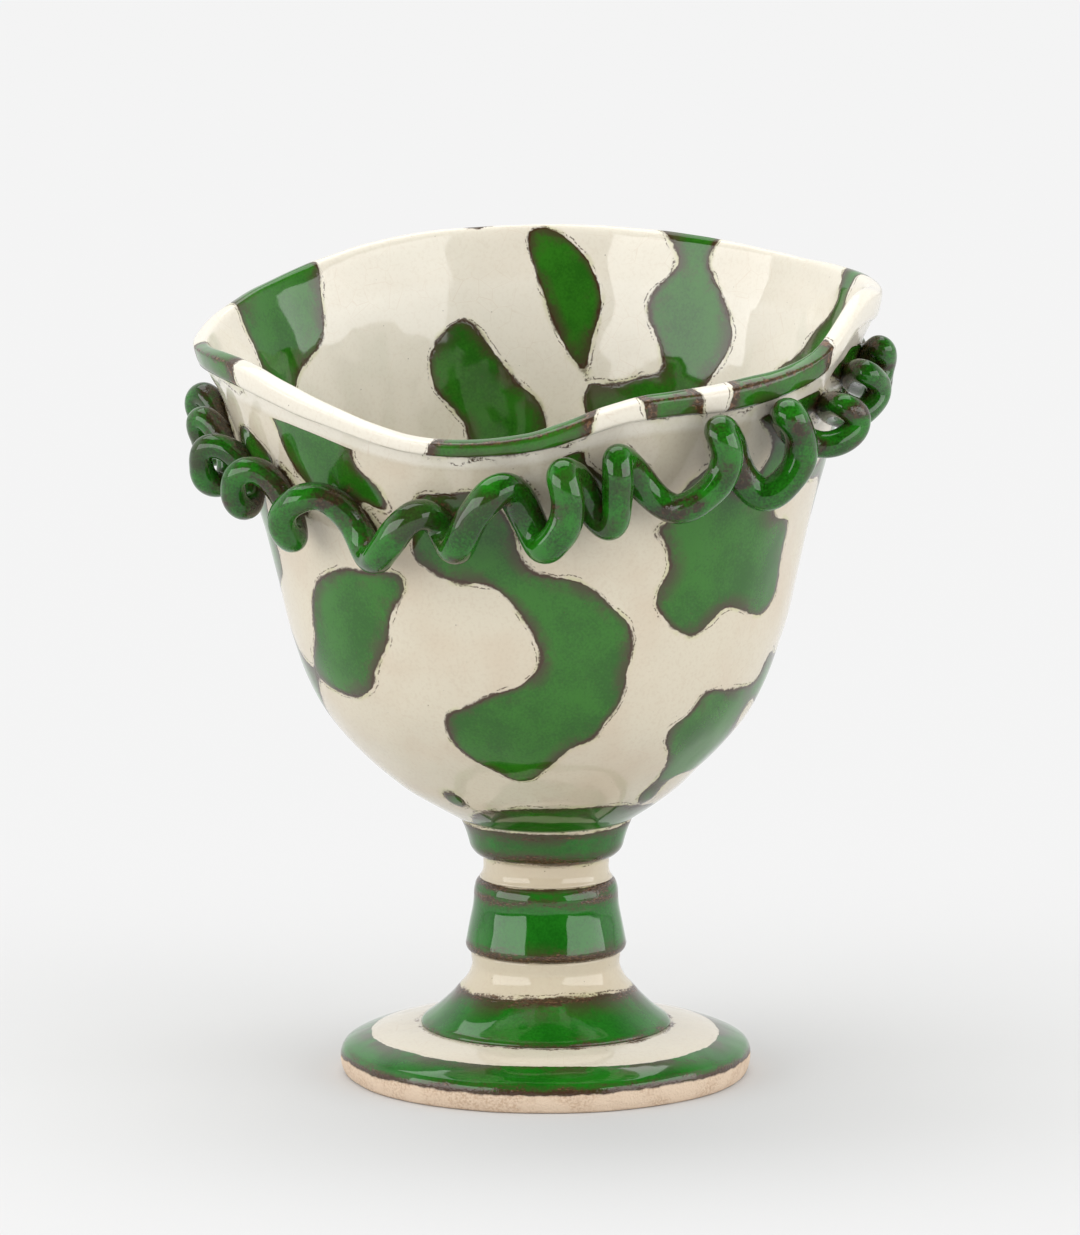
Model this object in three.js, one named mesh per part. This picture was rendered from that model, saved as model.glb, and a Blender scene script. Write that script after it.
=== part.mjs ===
// Studio-pottery goblet: a wide bowl with a pulled, wavy mouth and a corkscrew rope of clay,
// on a stem of thrown sections and a hollow foot. Millimetres, +Z up, origin on the table
// under the stem's axis. Angles are degrees round Z: 0 is right, 90 back, 180 left, 270 front.
import * as THREE from "three";

const { degToRad, radToDeg, clamp, lerp, euclideanModulo } = THREE.MathUtils;

// Driving dimensions
const bore = 7; // radius of the hollow that runs up the foot and stem
const slipGap = 0.3; // room for slip between two luted pieces that follow one curve

const foot = {
  radius: 41,
  edgeHeight: 6.5, // top of the rounded edge
  edgeRound: 1.6,
  edgeUnder: 1, // rounding under the edge
  bellyHeight: 2.9, // height where the edge stands upright
  ringWidth: 6, // flat standing ring
  hollowHeight: 5, // depth of the recess inside the standing ring
  hollowFlat: 21.7, // radius of its nearly flat ceiling
  hollowSag: 0.4, // drop of the ceiling at that radius
  hollowTurn: 2.4, // how far inside the ring its side turns down
  crown: 0.72, // how full the upper side is between edge and seat
  seatHeight: 10, // flat seat for the pedestal
  seatMargin: 0.4, // seat beyond the pedestal's base
};

const pedestal = {
  baseRadius: 25.2,
  baseEdge: 1.6, // thickness of the rolled edge
  flare: 0.36, // share of the cone's flare that is left at half its height
  breakRadius: 17.2, // where the cone turns into the neck
  breakHeight: 7.7,
  waistRadius: 14.7,
  waistHeight: 13,
  headRadius: 14.9,
  height: 15,
};

const drum = {
  baseRadius: 15.2,
  bellyRadius: 16.1,
  bellyHeight: 1.7,
  fullness: 0.25, // share of the belly that is left at half its height
  shoulderRadius: 14.4,
  shoulderDrop: 1.6, // from the head down to the shoulder
  headRadius: 13.6,
  height: 15,
};

const collar = {
  baseRadius: 13.2,
  neckRadius: 12.5,
  neckFillet: 2.3, // height over which the neck draws in
  neckHeight: 4.6,
  bandRadius: 15.3,
  bandEdge: 0.7, // fall of the flared cup's lower edge towards the neck
  bandHeight: 6.8,
  seatHeight: 10, // floor that the bowl stands on
  lipRadius: 17,
  lipEdge: 0.5,
  boreTop: 6, // blind end of the hollow
  boreRound: 2.2, // rounding of that end
};

const bowl = {
  baseRadius: 12,
  wall: 4,
  floor: 6,
  height: 100, // to the lip before it is pulled
  lipRound: 2.4, // half the thickness of the rolled lip
  lipOut: 0.5, // lip's centre outside the wall's
  rollStart: -0.5, // rolled lip from outside to inside, in radians from straight out
  rollEnd: 3.5,
  sway: 1.9, // how far the bowl stands to the left of the stem
  swayEase: 14, // height over which it gets there
};

// Outside of the thrown wall: radius and height above the base
const throwing = [
  [17.6, 2.5],
  [30, 10.9],
  [42.7, 25],
  [49.8, 42],
  [53.4, 63],
  [56.6, 86],
  [58.7, 95],
];

// The mouth as the potter pulled it out of round
const mouth = {
  halfWidth: 67.4,
  halfDepth: 60.5,
  pinch: 1.6, // extra pull at the two corners
  pinchSharpness: 10,
  start: 42, // height where the pulling starts
  ease: 1.8,
};

// Rise of the lip over the bowl's height, at angles round the mouth
const lipRise = [
  [0, 10],
  [30, 10.5],
  [60, 12],
  [90, 13.4],
  [120, 11.2],
  [150, 5],
  [175, -0.2],
  [205, -0.6],
  [225, -5.7],
  [247, -11.2],
  [268, -10.1],
  [288, -3.6],
  [310, -2],
  [330, 2],
  [345, 10.6],
];

// The clay rope that is wound like a corkscrew round the bowl
const rope = {
  flatness: 0.92, // thickness over width of its oval section
  slack: 0.45, // how far the bottom of a turn follows the wall's slope
  hiddenTurns: 11,
  hiddenDepth: 20, // middle of a hidden turn under the lip
  hiddenHeight: 4.1, // half height of a hidden turn's centre line
  hiddenSwing: 0.5, // unevenness of the hidden turns
  hiddenRhythm: 2, // step of that unevenness from turn to turn, in radians
  hiddenReach: 2.3, // half the depth of a hidden turn's centre line
};

// Turns of the rope from the left round the front to the right, wound by eye and so uneven:
// the angle of a turn's bottom and its drop below the bowl's height, the same for its top,
// half the depth of its centre line, and how far its outer strand leans ahead
const frontTurns = [
  { bottom: [167.5, 21.8], top: [171.5, 14], reach: 2.9, lean: 0 },
  { bottom: [179.5, 24.4], top: [184, 16.2], reach: 2.1, lean: 0 },
  { bottom: [190.5, 28.4], top: [195.5, 19.6], reach: 3.5, lean: 0 },
  { bottom: [204, 30.4], top: [209, 22.1], reach: 3.3, lean: -0.6 },
  { bottom: [219, 34.2], top: [226.5, 24.6], reach: 3.4, lean: -2 },
  { bottom: [238.5, 36], top: [248.5, 26.3], reach: 3, lean: 0 },
  { bottom: [255, 32.4], top: [264, 20], reach: 3, lean: -0.6 },
  { bottom: [271.5, 32], top: [275, 17.2], reach: 3.2, lean: 2.2 },
  { bottom: [283.4, 28], top: [284.7, 14.4], reach: 2.8, lean: 0.4 },
  { bottom: [296, 25.4], top: [303, 10], reach: 3.2, lean: 3.8 },
  { bottom: [314.5, 24.4], top: [316.5, 8.2], reach: 3, lean: 4.2 },
  { bottom: [328, 16.2], top: [331, 8.8], reach: 4, lean: 2.8 },
  { bottom: [340, 12.8], top: [341, 3.8], reach: 3, lean: 4.5 },
  { bottom: [352, 9], top: [353, 1.4], reach: 1.9, lean: 2.5 },
];

// Hand-rolled lengths of rope: the turn where each starts, and its width
const ropeLengths = [
  { start: 4.75, width: 6.3 },
  { start: 7.75, width: 6 },
  { start: 10.75, width: 4.8 },
  { start: 16.75, width: 4.8 },
  { start: 23.75, width: 4.8 },
];
const ropeEndGap = 0.006; // half the slip gap between two lengths, as a share of a turn

const aroundBowl = 60; // facets round the bowl
const wallRings = 14; // rings of facets up the bowl's wall
const lipFacets = 4; // over the rolled lip
const aroundFoot = 44;
const aroundStem = 36;
const curveSteps = 3; // facets along each curve of a turned profile
const ropeSides = 8;
const stepsPerTurn = 13;
const samplesPerTurn = 60; // points at which the rope's length is measured
const wallSamples = 80; // points at which the thrown curve is looked up
const halvings = 24; // of the height in the search for a point of the pulled wall

// Glazes and clay
const cream = new THREE.MeshStandardMaterial({ color: 0xe2d8c4, roughness: 0.28, metalness: 0 });
const green = new THREE.MeshStandardMaterial({ color: 0x2f7d34, roughness: 0.22, metalness: 0 });
const darkGreen = new THREE.MeshStandardMaterial({ color: 0x1c6a24, roughness: 0.2, metalness: 0 });
const clay = new THREE.MeshStandardMaterial({ color: 0xe4c8ac, roughness: 0.8, metalness: 0 });

// Smooth value through two middle neighbours of four [place, value] pairs
function smoothBetween(before, from, to, after, place) {
  const span = to[0] - from[0];
  const t = (place - from[0]) / span;
  const startSlope = ((to[1] - before[1]) / (to[0] - before[0])) * span;
  const endSlope = ((after[1] - from[1]) / (after[0] - from[0])) * span;
  const t2 = t * t;
  const t3 = t2 * t;
  return (
    (2 * t3 - 3 * t2 + 1) * from[1] +
    (t3 - 2 * t2 + t) * startSlope +
    (3 * t2 - 2 * t3) * to[1] +
    (t3 - t2) * endSlope
  );
}

// Value at an angle on a smooth closed curve through stations of angle and value
function around(stations, angle) {
  const count = stations.length;
  const station = (index) => {
    const lap = Math.floor(index / count);
    const [at, value] = stations[index - lap * count];
    return [at + 360 * lap, value];
  };
  const place = euclideanModulo(angle, 360);
  const found = stations.findIndex(([at]) => at > place);
  const next = found < 0 ? count : found;
  return smoothBetween(
    station(next - 2),
    station(next - 1),
    station(next),
    station(next + 1),
    place,
  );
}

// Points of a path as a closed ring of facets turned round Z
function turned(points, facets) {
  return new THREE.LatheGeometry(points, facets).rotateX(Math.PI / 2);
}

// Foot: a shallow saucer upside down, with a standing ring, a recess and the stem's hollow
function footDisc() {
  const seatRadius = pedestal.baseRadius + foot.seatMargin;
  const inner = foot.radius - foot.ringWidth;
  const ceiling = foot.hollowHeight - foot.hollowSag;
  const path = new THREE.Path();
  path.moveTo(bore, foot.hollowHeight);
  path.lineTo(foot.hollowFlat, ceiling);
  path.quadraticCurveTo(inner - foot.hollowTurn, lerp(0, ceiling, 2 / 3), inner, 0);
  path.lineTo(foot.radius - foot.edgeUnder, 0);
  path.quadraticCurveTo(foot.radius, 0, foot.radius, foot.bellyHeight);
  path.quadraticCurveTo(
    foot.radius,
    foot.edgeHeight - foot.edgeRound / 2,
    foot.radius - foot.edgeRound,
    foot.edgeHeight,
  );
  path.quadraticCurveTo(
    lerp(foot.radius, seatRadius, 1 / 2),
    lerp(foot.edgeHeight, foot.seatHeight, foot.crown),
    seatRadius,
    foot.seatHeight,
  );
  path.lineTo(bore, foot.seatHeight);
  path.closePath();
  return turned(path.getPoints(curveSteps), aroundFoot);
}

// Pedestal: a flared cone with a rolled edge, drawn in to a short neck
function pedestalBody() {
  const roll = pedestal.baseEdge / 2;
  const path = new THREE.Path();
  path.moveTo(bore, 0);
  path.lineTo(pedestal.baseRadius - roll, 0);
  path.absarc(pedestal.baseRadius - roll, roll, roll, -Math.PI / 2, Math.PI / 2, false);
  path.quadraticCurveTo(
    lerp(pedestal.breakRadius, pedestal.baseRadius, pedestal.flare),
    pedestal.breakHeight / 2,
    pedestal.breakRadius,
    pedestal.breakHeight,
  );
  path.quadraticCurveTo(
    pedestal.waistRadius,
    lerp(pedestal.breakHeight, pedestal.waistHeight, 1 / 2),
    pedestal.waistRadius,
    pedestal.waistHeight,
  );
  path.lineTo(pedestal.headRadius, pedestal.height);
  path.lineTo(bore, pedestal.height);
  path.closePath();
  return turned(path.getPoints(curveSteps), aroundStem);
}

// Drum: a thick waisted ring, widest just over its lower edge
function drumBody() {
  const path = new THREE.Path();
  path.moveTo(bore, 0);
  path.lineTo(drum.baseRadius, 0);
  path.quadraticCurveTo(drum.bellyRadius, 0, drum.bellyRadius, drum.bellyHeight);
  path.quadraticCurveTo(
    lerp(drum.shoulderRadius, drum.bellyRadius, drum.fullness),
    drum.height / 2,
    drum.shoulderRadius,
    drum.height - drum.shoulderDrop,
  );
  path.quadraticCurveTo(drum.shoulderRadius, drum.height, drum.headRadius, drum.height);
  path.lineTo(bore, drum.height);
  path.closePath();
  return turned(path.getPoints(curveSteps), aroundStem);
}

// Shallow cone of the bowl's underside, from the flat base out to where the thrown curve starts
const [[shoulderRadius, shoulderHeight]] = throwing;
const baseSlope = (shoulderRadius - bowl.baseRadius) / shoulderHeight;

// Collar: a short neck under a flared cup, whose floor and lip follow the bowl's underside
function collarBody() {
  const seatRadius = bowl.baseRadius + slipGap * Math.hypot(1, baseSlope);
  const lipTop = collar.seatHeight + (collar.lipRadius - seatRadius) / baseSlope;
  const path = new THREE.Path();
  path.moveTo(0, collar.boreTop);
  path.lineTo(bore - collar.boreRound, collar.boreTop);
  path.quadraticCurveTo(bore, collar.boreTop, bore, collar.boreTop - collar.boreRound);
  path.lineTo(bore, 0);
  path.lineTo(collar.baseRadius, 0);
  path.quadraticCurveTo(collar.neckRadius, collar.neckFillet / 3, collar.neckRadius, collar.neckFillet);
  path.lineTo(collar.neckRadius, collar.neckHeight);
  path.quadraticCurveTo(
    lerp(collar.neckRadius, collar.bandRadius, 2 / 3),
    collar.neckHeight + collar.bandEdge,
    collar.bandRadius,
    collar.bandHeight,
  );
  path.quadraticCurveTo(
    lerp(collar.bandRadius, collar.lipRadius, 1 / 3),
    lerp(collar.bandHeight, lipTop, 1 / 2),
    collar.lipRadius,
    lipTop - collar.lipEdge,
  );
  path.lineTo(collar.lipRadius, lipTop);
  path.lineTo(seatRadius, collar.seatHeight);
  path.lineTo(0, collar.seatHeight);
  return turned(path.getPoints(curveSteps), aroundStem);
}

const thrownWall = new THREE.SplineCurve(throwing.map(([r, z]) => new THREE.Vector2(r, z)));
const wallLine = thrownWall.getPoints(wallSamples);

// Radius of the thrown wall's outside at a height, before the mouth is pulled
function thrownRadius(height) {
  if (height <= shoulderHeight) return bowl.baseRadius + height * baseSlope;
  const above = wallLine.findIndex((p) => p.y > height);
  if (above < 1) return wallLine.at(above).x;
  const low = wallLine[above - 1];
  const high = wallLine[above];
  return lerp(low.x, high.x, (height - low.y) / (high.y - low.y));
}

// How far the pulling has taken hold at a height of the thrown wall
function pulled(height) {
  return clamp((height - mouth.start) / (bowl.height - mouth.start), 0, 1) ** mouth.ease;
}

// Reach of the mouth's outer edge at an angle
function mouthReach(angle) {
  const turn = degToRad(angle);
  const oval = 1 / Math.hypot(Math.cos(turn) / mouth.halfWidth, Math.sin(turn) / mouth.halfDepth);
  return oval + mouth.pinch * Math.abs(Math.cos(turn)) ** mouth.pinchSharpness;
}

// Centre of the rolled lip and its outer edge, before the mouth is pulled
const lipRadius = throwing.at(-1)[0] - bowl.wall / 2 + bowl.lipOut;
const thrownReach = lipRadius + bowl.lipRound;

// Place of a point of the thrown bowl after the mouth is pulled and the bowl leans
function shaped(angle, radius, height) {
  const hold = pulled(height);
  const r = radius + hold * (mouthReach(angle) - thrownReach);
  const z = height + hold * around(lipRise, angle);
  const turn = degToRad(angle);
  const above = Math.max(height - shoulderHeight, 0);
  const sway = bowl.sway * (1 - Math.exp(-above / bowl.swayEase));
  return new THREE.Vector3(r * Math.cos(turn) - sway, r * Math.sin(turn), z);
}

// Point of the finished wall's outside at an angle and a finished height
function wallPoint(angle, height) {
  const rise = around(lipRise, angle);
  let low = 0;
  let high = bowl.height;
  for (let i = 0; i < halvings; i++) {
    const middle = (low + high) / 2;
    if (middle + pulled(middle) * rise < height) low = middle;
    else high = middle;
  }
  return shaped(angle, thrownRadius(low), low);
}

// Point that stands off the finished wall by a gap square to it and then straight out
function offWall(angle, height, gap, out) {
  const here = wallPoint(angle, height);
  const above = wallPoint(angle, height + 1);
  const outward = new THREE.Vector3(Math.cos(degToRad(angle)), Math.sin(degToRad(angle)), 0);
  const slope = above.sub(here).dot(outward);
  return here.addScaledVector(outward, gap * Math.hypot(1, slope) + out);
}

// Bowl: a thrown wall with a rolled lip, on a flat base
function bowlBody() {
  const outside = thrownWall.getPoints(wallRings);
  const inside = outside.map((p, i) => {
    const t = thrownWall.getTangent(i / (outside.length - 1));
    return new THREE.Vector2(p.x - t.y * bowl.wall, p.y + t.x * bowl.wall);
  });
  const lipHeight = bowl.height - bowl.lipRound;
  const roll = new THREE.Path()
    .absarc(lipRadius, lipHeight, bowl.lipRound, bowl.rollStart, bowl.rollEnd, false)
    .getPoints(lipFacets);
  const points = [
    new THREE.Vector2(0, 0),
    new THREE.Vector2(bowl.baseRadius, 0),
    ...outside,
    ...roll,
    ...inside.reverse(),
    new THREE.Vector2(0, bowl.floor),
  ];
  const geometry = turned(points, aroundBowl);
  const place = geometry.attributes.position;
  for (let i = 0; i < place.count; i++) {
    const x = place.getX(i);
    const y = place.getY(i);
    const at = shaped(radToDeg(Math.atan2(y, x)), Math.hypot(x, y), place.getZ(i));
    place.setXYZ(i, at.x, at.y, at.z);
  }
  return geometry;
}

// All turns of the rope: those in front as wound, those behind evenly spaced under the lip
function ropeTurns() {
  const [lastAngle] = frontTurns.at(-1).top;
  const [firstAngle] = frontTurns[0].bottom;
  const pitch = (firstAngle + 360 - lastAngle) / (rope.hiddenTurns + 1 / 2);
  const place = (angle, up) => [angle, rope.hiddenDepth - around(lipRise, angle) - up];
  const hidden = Array.from({ length: rope.hiddenTurns }, (_, i) => {
    const angle = lastAngle + pitch * (i + 1 / 2);
    const half = rope.hiddenHeight + rope.hiddenSwing * Math.sin(rope.hiddenRhythm * i);
    return {
      bottom: place(angle, -half),
      top: place(angle + pitch / 2, half),
      reach: rope.hiddenReach,
      lean: 0,
    };
  });
  return [...frontTurns, ...hidden];
}

const turns = ropeTurns();

// Bottoms and tops in the order of the rope, and the height halfway between them
const ropeAngles = turns.flatMap(({ bottom, top }) => [bottom[0], top[0]]);
const ropeDrops = turns.flatMap(({ bottom, top }) => [bottom[1], top[1]]);
const ropeMiddles = ropeDrops.map((drop, i) => {
  const neighbours = ropeDrops.at(i - 1) + ropeDrops[(i + 1) % ropeDrops.length];
  return (drop + neighbours / 2) / 2;
});
const ropeReaches = turns.map(({ reach }) => reach);
const ropeLeans = turns.map(({ lean }) => lean);

// Smooth value at a fractional place in a closed list that grows by a gain with each lap
function looped(values, place, gain = 0) {
  const pair = (index) => {
    const lap = Math.floor(index / values.length);
    return [index, values[index - lap * values.length] + gain * lap];
  };
  const from = Math.floor(place);
  return smoothBetween(pair(from - 1), pair(from), pair(from + 1), pair(from + 2), place);
}

// Centre line of a length of rope, wound close round the bowl between two turn numbers:
// a whole number is a turn's bottom, a half its top, and its outer strand lies between them
class Corkscrew extends THREE.Curve {
  constructor(start, end, width) {
    super();
    this.start = start;
    this.end = end;
    this.width = width;
    this.arcLengthDivisions = samplesPerTurn * Math.ceil(end - start);
  }

  getPoint(t, target = new THREE.Vector3()) {
    const turn = lerp(this.start, this.end, t);
    const swing = Math.sin(2 * Math.PI * turn);
    const reach = looped(ropeReaches, turn - 1 / 4);
    const lean = looped(ropeLeans, turn - 1 / 4) * Math.max(swing, 0) ** 2;
    const angle = looped(ropeAngles, 2 * turn, 360) + radToDeg(lean / mouth.halfDepth);
    const passed = Math.floor(2 * turn);
    const drops = [passed, passed + 1].map((i) => ropeDrops[euclideanModulo(i, ropeDrops.length)]);
    const drop = lerp(...drops, (1 - Math.cos(Math.PI * (2 * turn - passed))) / 2);
    const middle = looped(ropeMiddles, 2 * turn);
    const up = middle - drop;
    const followed = bowl.height - middle + (up > 0 ? up : rope.slack * up);
    return target
      .copy(offWall(angle, followed, slipGap + this.width / 2, reach * (1 + swing)))
      .setZ(bowl.height - drop);
  }
}

// One hand-rolled length of rope
function ropeLength(start, end, width) {
  const corners = Array.from({ length: ropeSides }, (_, i) => {
    const corner = (2 * Math.PI * (i + 0.5)) / ropeSides;
    const across = (width / 2) * rope.flatness * Math.cos(corner);
    return new THREE.Vector2(across, (width / 2) * Math.sin(corner));
  });
  return new THREE.ExtrudeGeometry(new THREE.Shape(corners), {
    steps: Math.round(stepsPerTurn * (end - start)),
    bevelEnabled: false,
    extrudePath: new Corkscrew(start + ropeEndGap, end - ropeEndGap, width),
  });
}

// A named piece of the goblet at a height in its group
function piece(name, geometry, material, height = 0) {
  const mesh = new THREE.Mesh(geometry, material);
  mesh.name = name;
  mesh.position.z = height;
  return mesh;
}

const pedestalSeat = foot.seatHeight;
const drumSeat = pedestalSeat + pedestal.height;
const collarSeat = drumSeat + drum.height;
const bowlSeat = collarSeat + collar.seatHeight;

const cup = new THREE.Group();
cup.position.z = bowlSeat;
cup.add(piece("bowl", bowlBody(), cream));
ropeLengths.forEach(({ start, width }, i) => {
  const end = ropeLengths[i + 1]?.start ?? ropeLengths[0].start + turns.length;
  cup.add(piece(`rope_length_${i + 1}`, ropeLength(start, end, width), darkGreen));
});

const goblet = new THREE.Group();
goblet.add(
  piece("foot", footDisc(), clay),
  piece("pedestal", pedestalBody(), green, pedestalSeat),
  piece("drum", drumBody(), green, drumSeat),
  piece("collar", collarBody(), green, collarSeat),
  cup,
);

export default goblet;
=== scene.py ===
"""Looks of a hand-built pottery goblet: glazed bowl with a pulled mouth, clay rope and banded stem.

Sizes are in millimetres and angles in degrees round Z, as in the part's source: 0 is right,
90 back, 180 left and 270 front. Meshes are turned into metres when they are made.
"""

import logging
import math
from dataclasses import dataclass, field
from enum import Enum
from functools import reduce
from typing import NamedTuple, Union

import bpy
import numpy as np
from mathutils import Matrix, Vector, kdtree


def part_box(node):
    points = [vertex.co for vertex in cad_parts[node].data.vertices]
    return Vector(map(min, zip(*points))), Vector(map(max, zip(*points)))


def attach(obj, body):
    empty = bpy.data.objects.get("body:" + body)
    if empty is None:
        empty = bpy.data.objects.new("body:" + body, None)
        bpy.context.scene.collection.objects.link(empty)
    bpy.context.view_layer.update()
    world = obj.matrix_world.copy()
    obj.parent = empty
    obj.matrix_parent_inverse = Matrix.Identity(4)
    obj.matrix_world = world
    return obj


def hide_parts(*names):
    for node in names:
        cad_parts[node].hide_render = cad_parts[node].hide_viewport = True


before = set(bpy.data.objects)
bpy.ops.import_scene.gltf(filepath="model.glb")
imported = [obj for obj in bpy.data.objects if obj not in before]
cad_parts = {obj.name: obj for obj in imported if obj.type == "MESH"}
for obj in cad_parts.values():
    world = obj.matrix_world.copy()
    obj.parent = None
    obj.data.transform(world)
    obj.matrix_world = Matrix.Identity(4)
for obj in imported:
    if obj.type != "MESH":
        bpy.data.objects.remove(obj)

MM = 0.001
BODY = "root"
LOG = logging.getLogger("goblet")

# A way in millimetres that is out of reach of every painted edge.
FAR = 9.0

Array = np.ndarray
Triple = tuple[float, float, float]
Colour = Triple
Span = tuple[float, float]
Stations = tuple[Span, ...]
Socket = bpy.types.NodeSocket
Value = Union[Socket, float]
Tint = Union[Socket, Colour]


class Slot(Enum):
    """Material slots of the record."""

    BOWL = "bowl_glaze"
    STEM = "stem_glaze"
    ROPE = "rope_glaze"


class Side(Enum):
    """Parts of the bowl's skin."""

    OUTSIDE = 0
    LIP = 1
    INSIDE = 2


def smooth_between(before: Array, start: Array, end: Array, after: Array, place: Array) -> Array:
    """Value on a smooth curve between two middle neighbours of four.

    Args:
        before: Place and value of the neighbour before the stretch, on the first axis.
        start: Place and value where the stretch starts.
        end: Place and value where the stretch ends.
        after: Place and value of the neighbour after the stretch.
        place: Places asked for, on the stretch.

    Returns:
        The values at those places.
    """
    span = end[0] - start[0]
    t = (place - start[0]) / span
    start_slope = (end[1] - before[1]) / (end[0] - before[0]) * span
    end_slope = (after[1] - start[1]) / (after[0] - start[0]) * span
    t2 = t * t
    t3 = t2 * t
    return (
        (2 * t3 - 3 * t2 + 1) * start[1]
        + (t3 - 2 * t2 + t) * start_slope
        + (3 * t2 - 2 * t3) * end[1]
        + (t3 - t2) * end_slope
    )


def smooth_step(value: Array, low: float, high: float) -> Array:
    """Share from 0 below low to 1 above high, with soft ends."""
    t = np.clip((value - low) / (high - low), 0, 1)
    return t * t * (3 - 2 * t)


def looped(values: Array, place: Array, gain: float = 0) -> Array:
    """Smooth value at fractional places in a closed list.

    Args:
        values: One value for each whole place.
        place: Places asked for.
        gain: How much the values grow with each lap of the list.

    Returns:
        The values at those places.
    """
    first = np.floor(place).astype(int)
    near = []
    for shift in (-1, 0, 1, 2):
        index = first + shift
        lap = np.floor_divide(index, len(values))
        near.append(np.stack([index, values[index - lap * len(values)] + gain * lap]))
    return smooth_between(*near, place)


def unit(vectors: Array) -> Array:
    """Vectors on the last axis, each made one long."""
    size = np.linalg.norm(vectors, axis=-1, keepdims=True)
    return vectors / np.maximum(size, 1e-9)


def seat_of(node: str) -> float:
    """Height of a node's lowest point over the table, in millimetres."""
    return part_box(node)[0].z / MM


def band(place: Array, middle: Array, half: Array) -> Array:
    """Way from a band round a middle, below 0 in it."""
    return np.abs(place - middle) - half


def grey(level: float) -> tuple[float, float, float, float]:
    """Opaque grey of a level, 0 black and 1 white."""
    return (level, level, level, 1)


@dataclass(frozen=True)
class ClosedCurve:
    """Smooth closed curve through stations of angle and value."""

    stations: Stations

    def at(self, angle: Array) -> Array:
        """Value at an angle.

        Args:
            angle: Angles in degrees.

        Returns:
            The curve's values there.
        """
        places, values = np.array(self.stations, float).T
        laps = np.stack([np.concatenate([places - 360, places, places + 360]), np.tile(values, 3)])
        turned = np.mod(angle, 360)
        after = np.searchsorted(laps[0], turned, side="right")
        near = [laps[:, after + shift] for shift in (-2, -1, 0, 1)]
        return smooth_between(*near, turned)


@dataclass(frozen=True)
class Ripple:
    """Gentle unevenness in space: a sum of waves in random directions."""

    seed: int
    length: float
    waves: int = 14
    lengths: Span = (0.7, 1.6)

    def both(self, points: Array) -> tuple[Array, Array]:
        """Height of the waves and how it changes.

        Args:
            points: Places in millimetres, with x, y and z on the last axis.

        Returns:
            The height at each place, mostly between -1 and 1, and its gradient per millimetre.
        """
        random = np.random.default_rng(self.seed)
        height = np.zeros(points.shape[:-1])
        slope = np.zeros(points.shape)
        for _ in range(self.waves):
            length = self.length * random.uniform(*self.lengths)
            wave = unit(random.normal(size=3)) * 2 * math.pi / length
            phase = points @ wave + random.uniform(0, 2 * math.pi)
            height += np.sin(phase)
            slope += np.cos(phase)[..., None] * wave
        return height / math.sqrt(self.waves), slope / math.sqrt(self.waves)

    def at(self, points: Array) -> Array:
        """Height of the waves, mostly between -1 and 1."""
        return self.both(points)[0]


@dataclass(frozen=True)
class Hide:
    """Free painted shapes, such as on a cow's hide, where wide and fine waves fall under a level.

    Size and fine_size are the lengths of the waves, and fine is the share of the finer ones. Where
    the waves lie level, least_slope keeps the way to the edge of the paint from growing too long.
    """

    seed: int
    level: float
    size: float
    fine: float
    fine_size: float
    least_slope: float = 0.03

    def way(self, points: Array, normals: Array, fade: Array) -> Array:
        """Way from the nearest edge of the paint.

        Args:
            points: Places on the surface.
            normals: The surface's directions there.
            fade: How far the paint is held back there.

        Returns:
            The way in millimetres, below 0 in the paint.
        """
        wide, wide_slope = Ripple(self.seed, self.size).both(points)
        fine, fine_slope = Ripple(self.seed + 1, self.fine_size).both(points)
        slope = wide_slope + self.fine * fine_slope
        slope -= normals * (slope * normals).sum(-1, keepdims=True)
        steep = np.hypot(np.linalg.norm(slope, axis=-1), self.least_slope)
        return (wide + self.fine * fine + fade - self.level) / steep


class Outline:
    """Profile of a turned piece as a line of close points, radius and height."""

    def __init__(self, radius: float, height: float, step: float = 0.5) -> None:
        """Starts the profile at a point; a step is the length of the stretches that it is cut into."""
        self.step = step
        self.points = [np.array([radius, height], float)]

    def line(self, radius: float, height: float) -> "Outline":
        """Goes straight to a point, and returns the profile."""
        return self.bend(*((self.points[-1] + (radius, height)) / 2), radius, height)

    def bend(self, via_radius: float, via_height: float, radius: float, height: float) -> "Outline":
        """Goes to a point along a quadratic curve.

        Args:
            via_radius: Radius of the control point.
            via_height: Height of the control point.
            radius: Radius of the end.
            height: Height of the end.

        Returns:
            The profile.
        """
        start = self.points[-1]
        via = np.array([via_radius, via_height], float)
        end = np.array([radius, height], float)
        length = np.linalg.norm(via - start) + np.linalg.norm(end - via)
        count = max(1, round(length / self.step))
        for t in np.linspace(0, 1, count + 1)[1:]:
            self.points.append((1 - t) ** 2 * start + 2 * t * (1 - t) * via + t * t * end)
        return self

    def array(self) -> Array:
        """The points as one array of radius and height."""
        return np.array(self.points)


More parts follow.
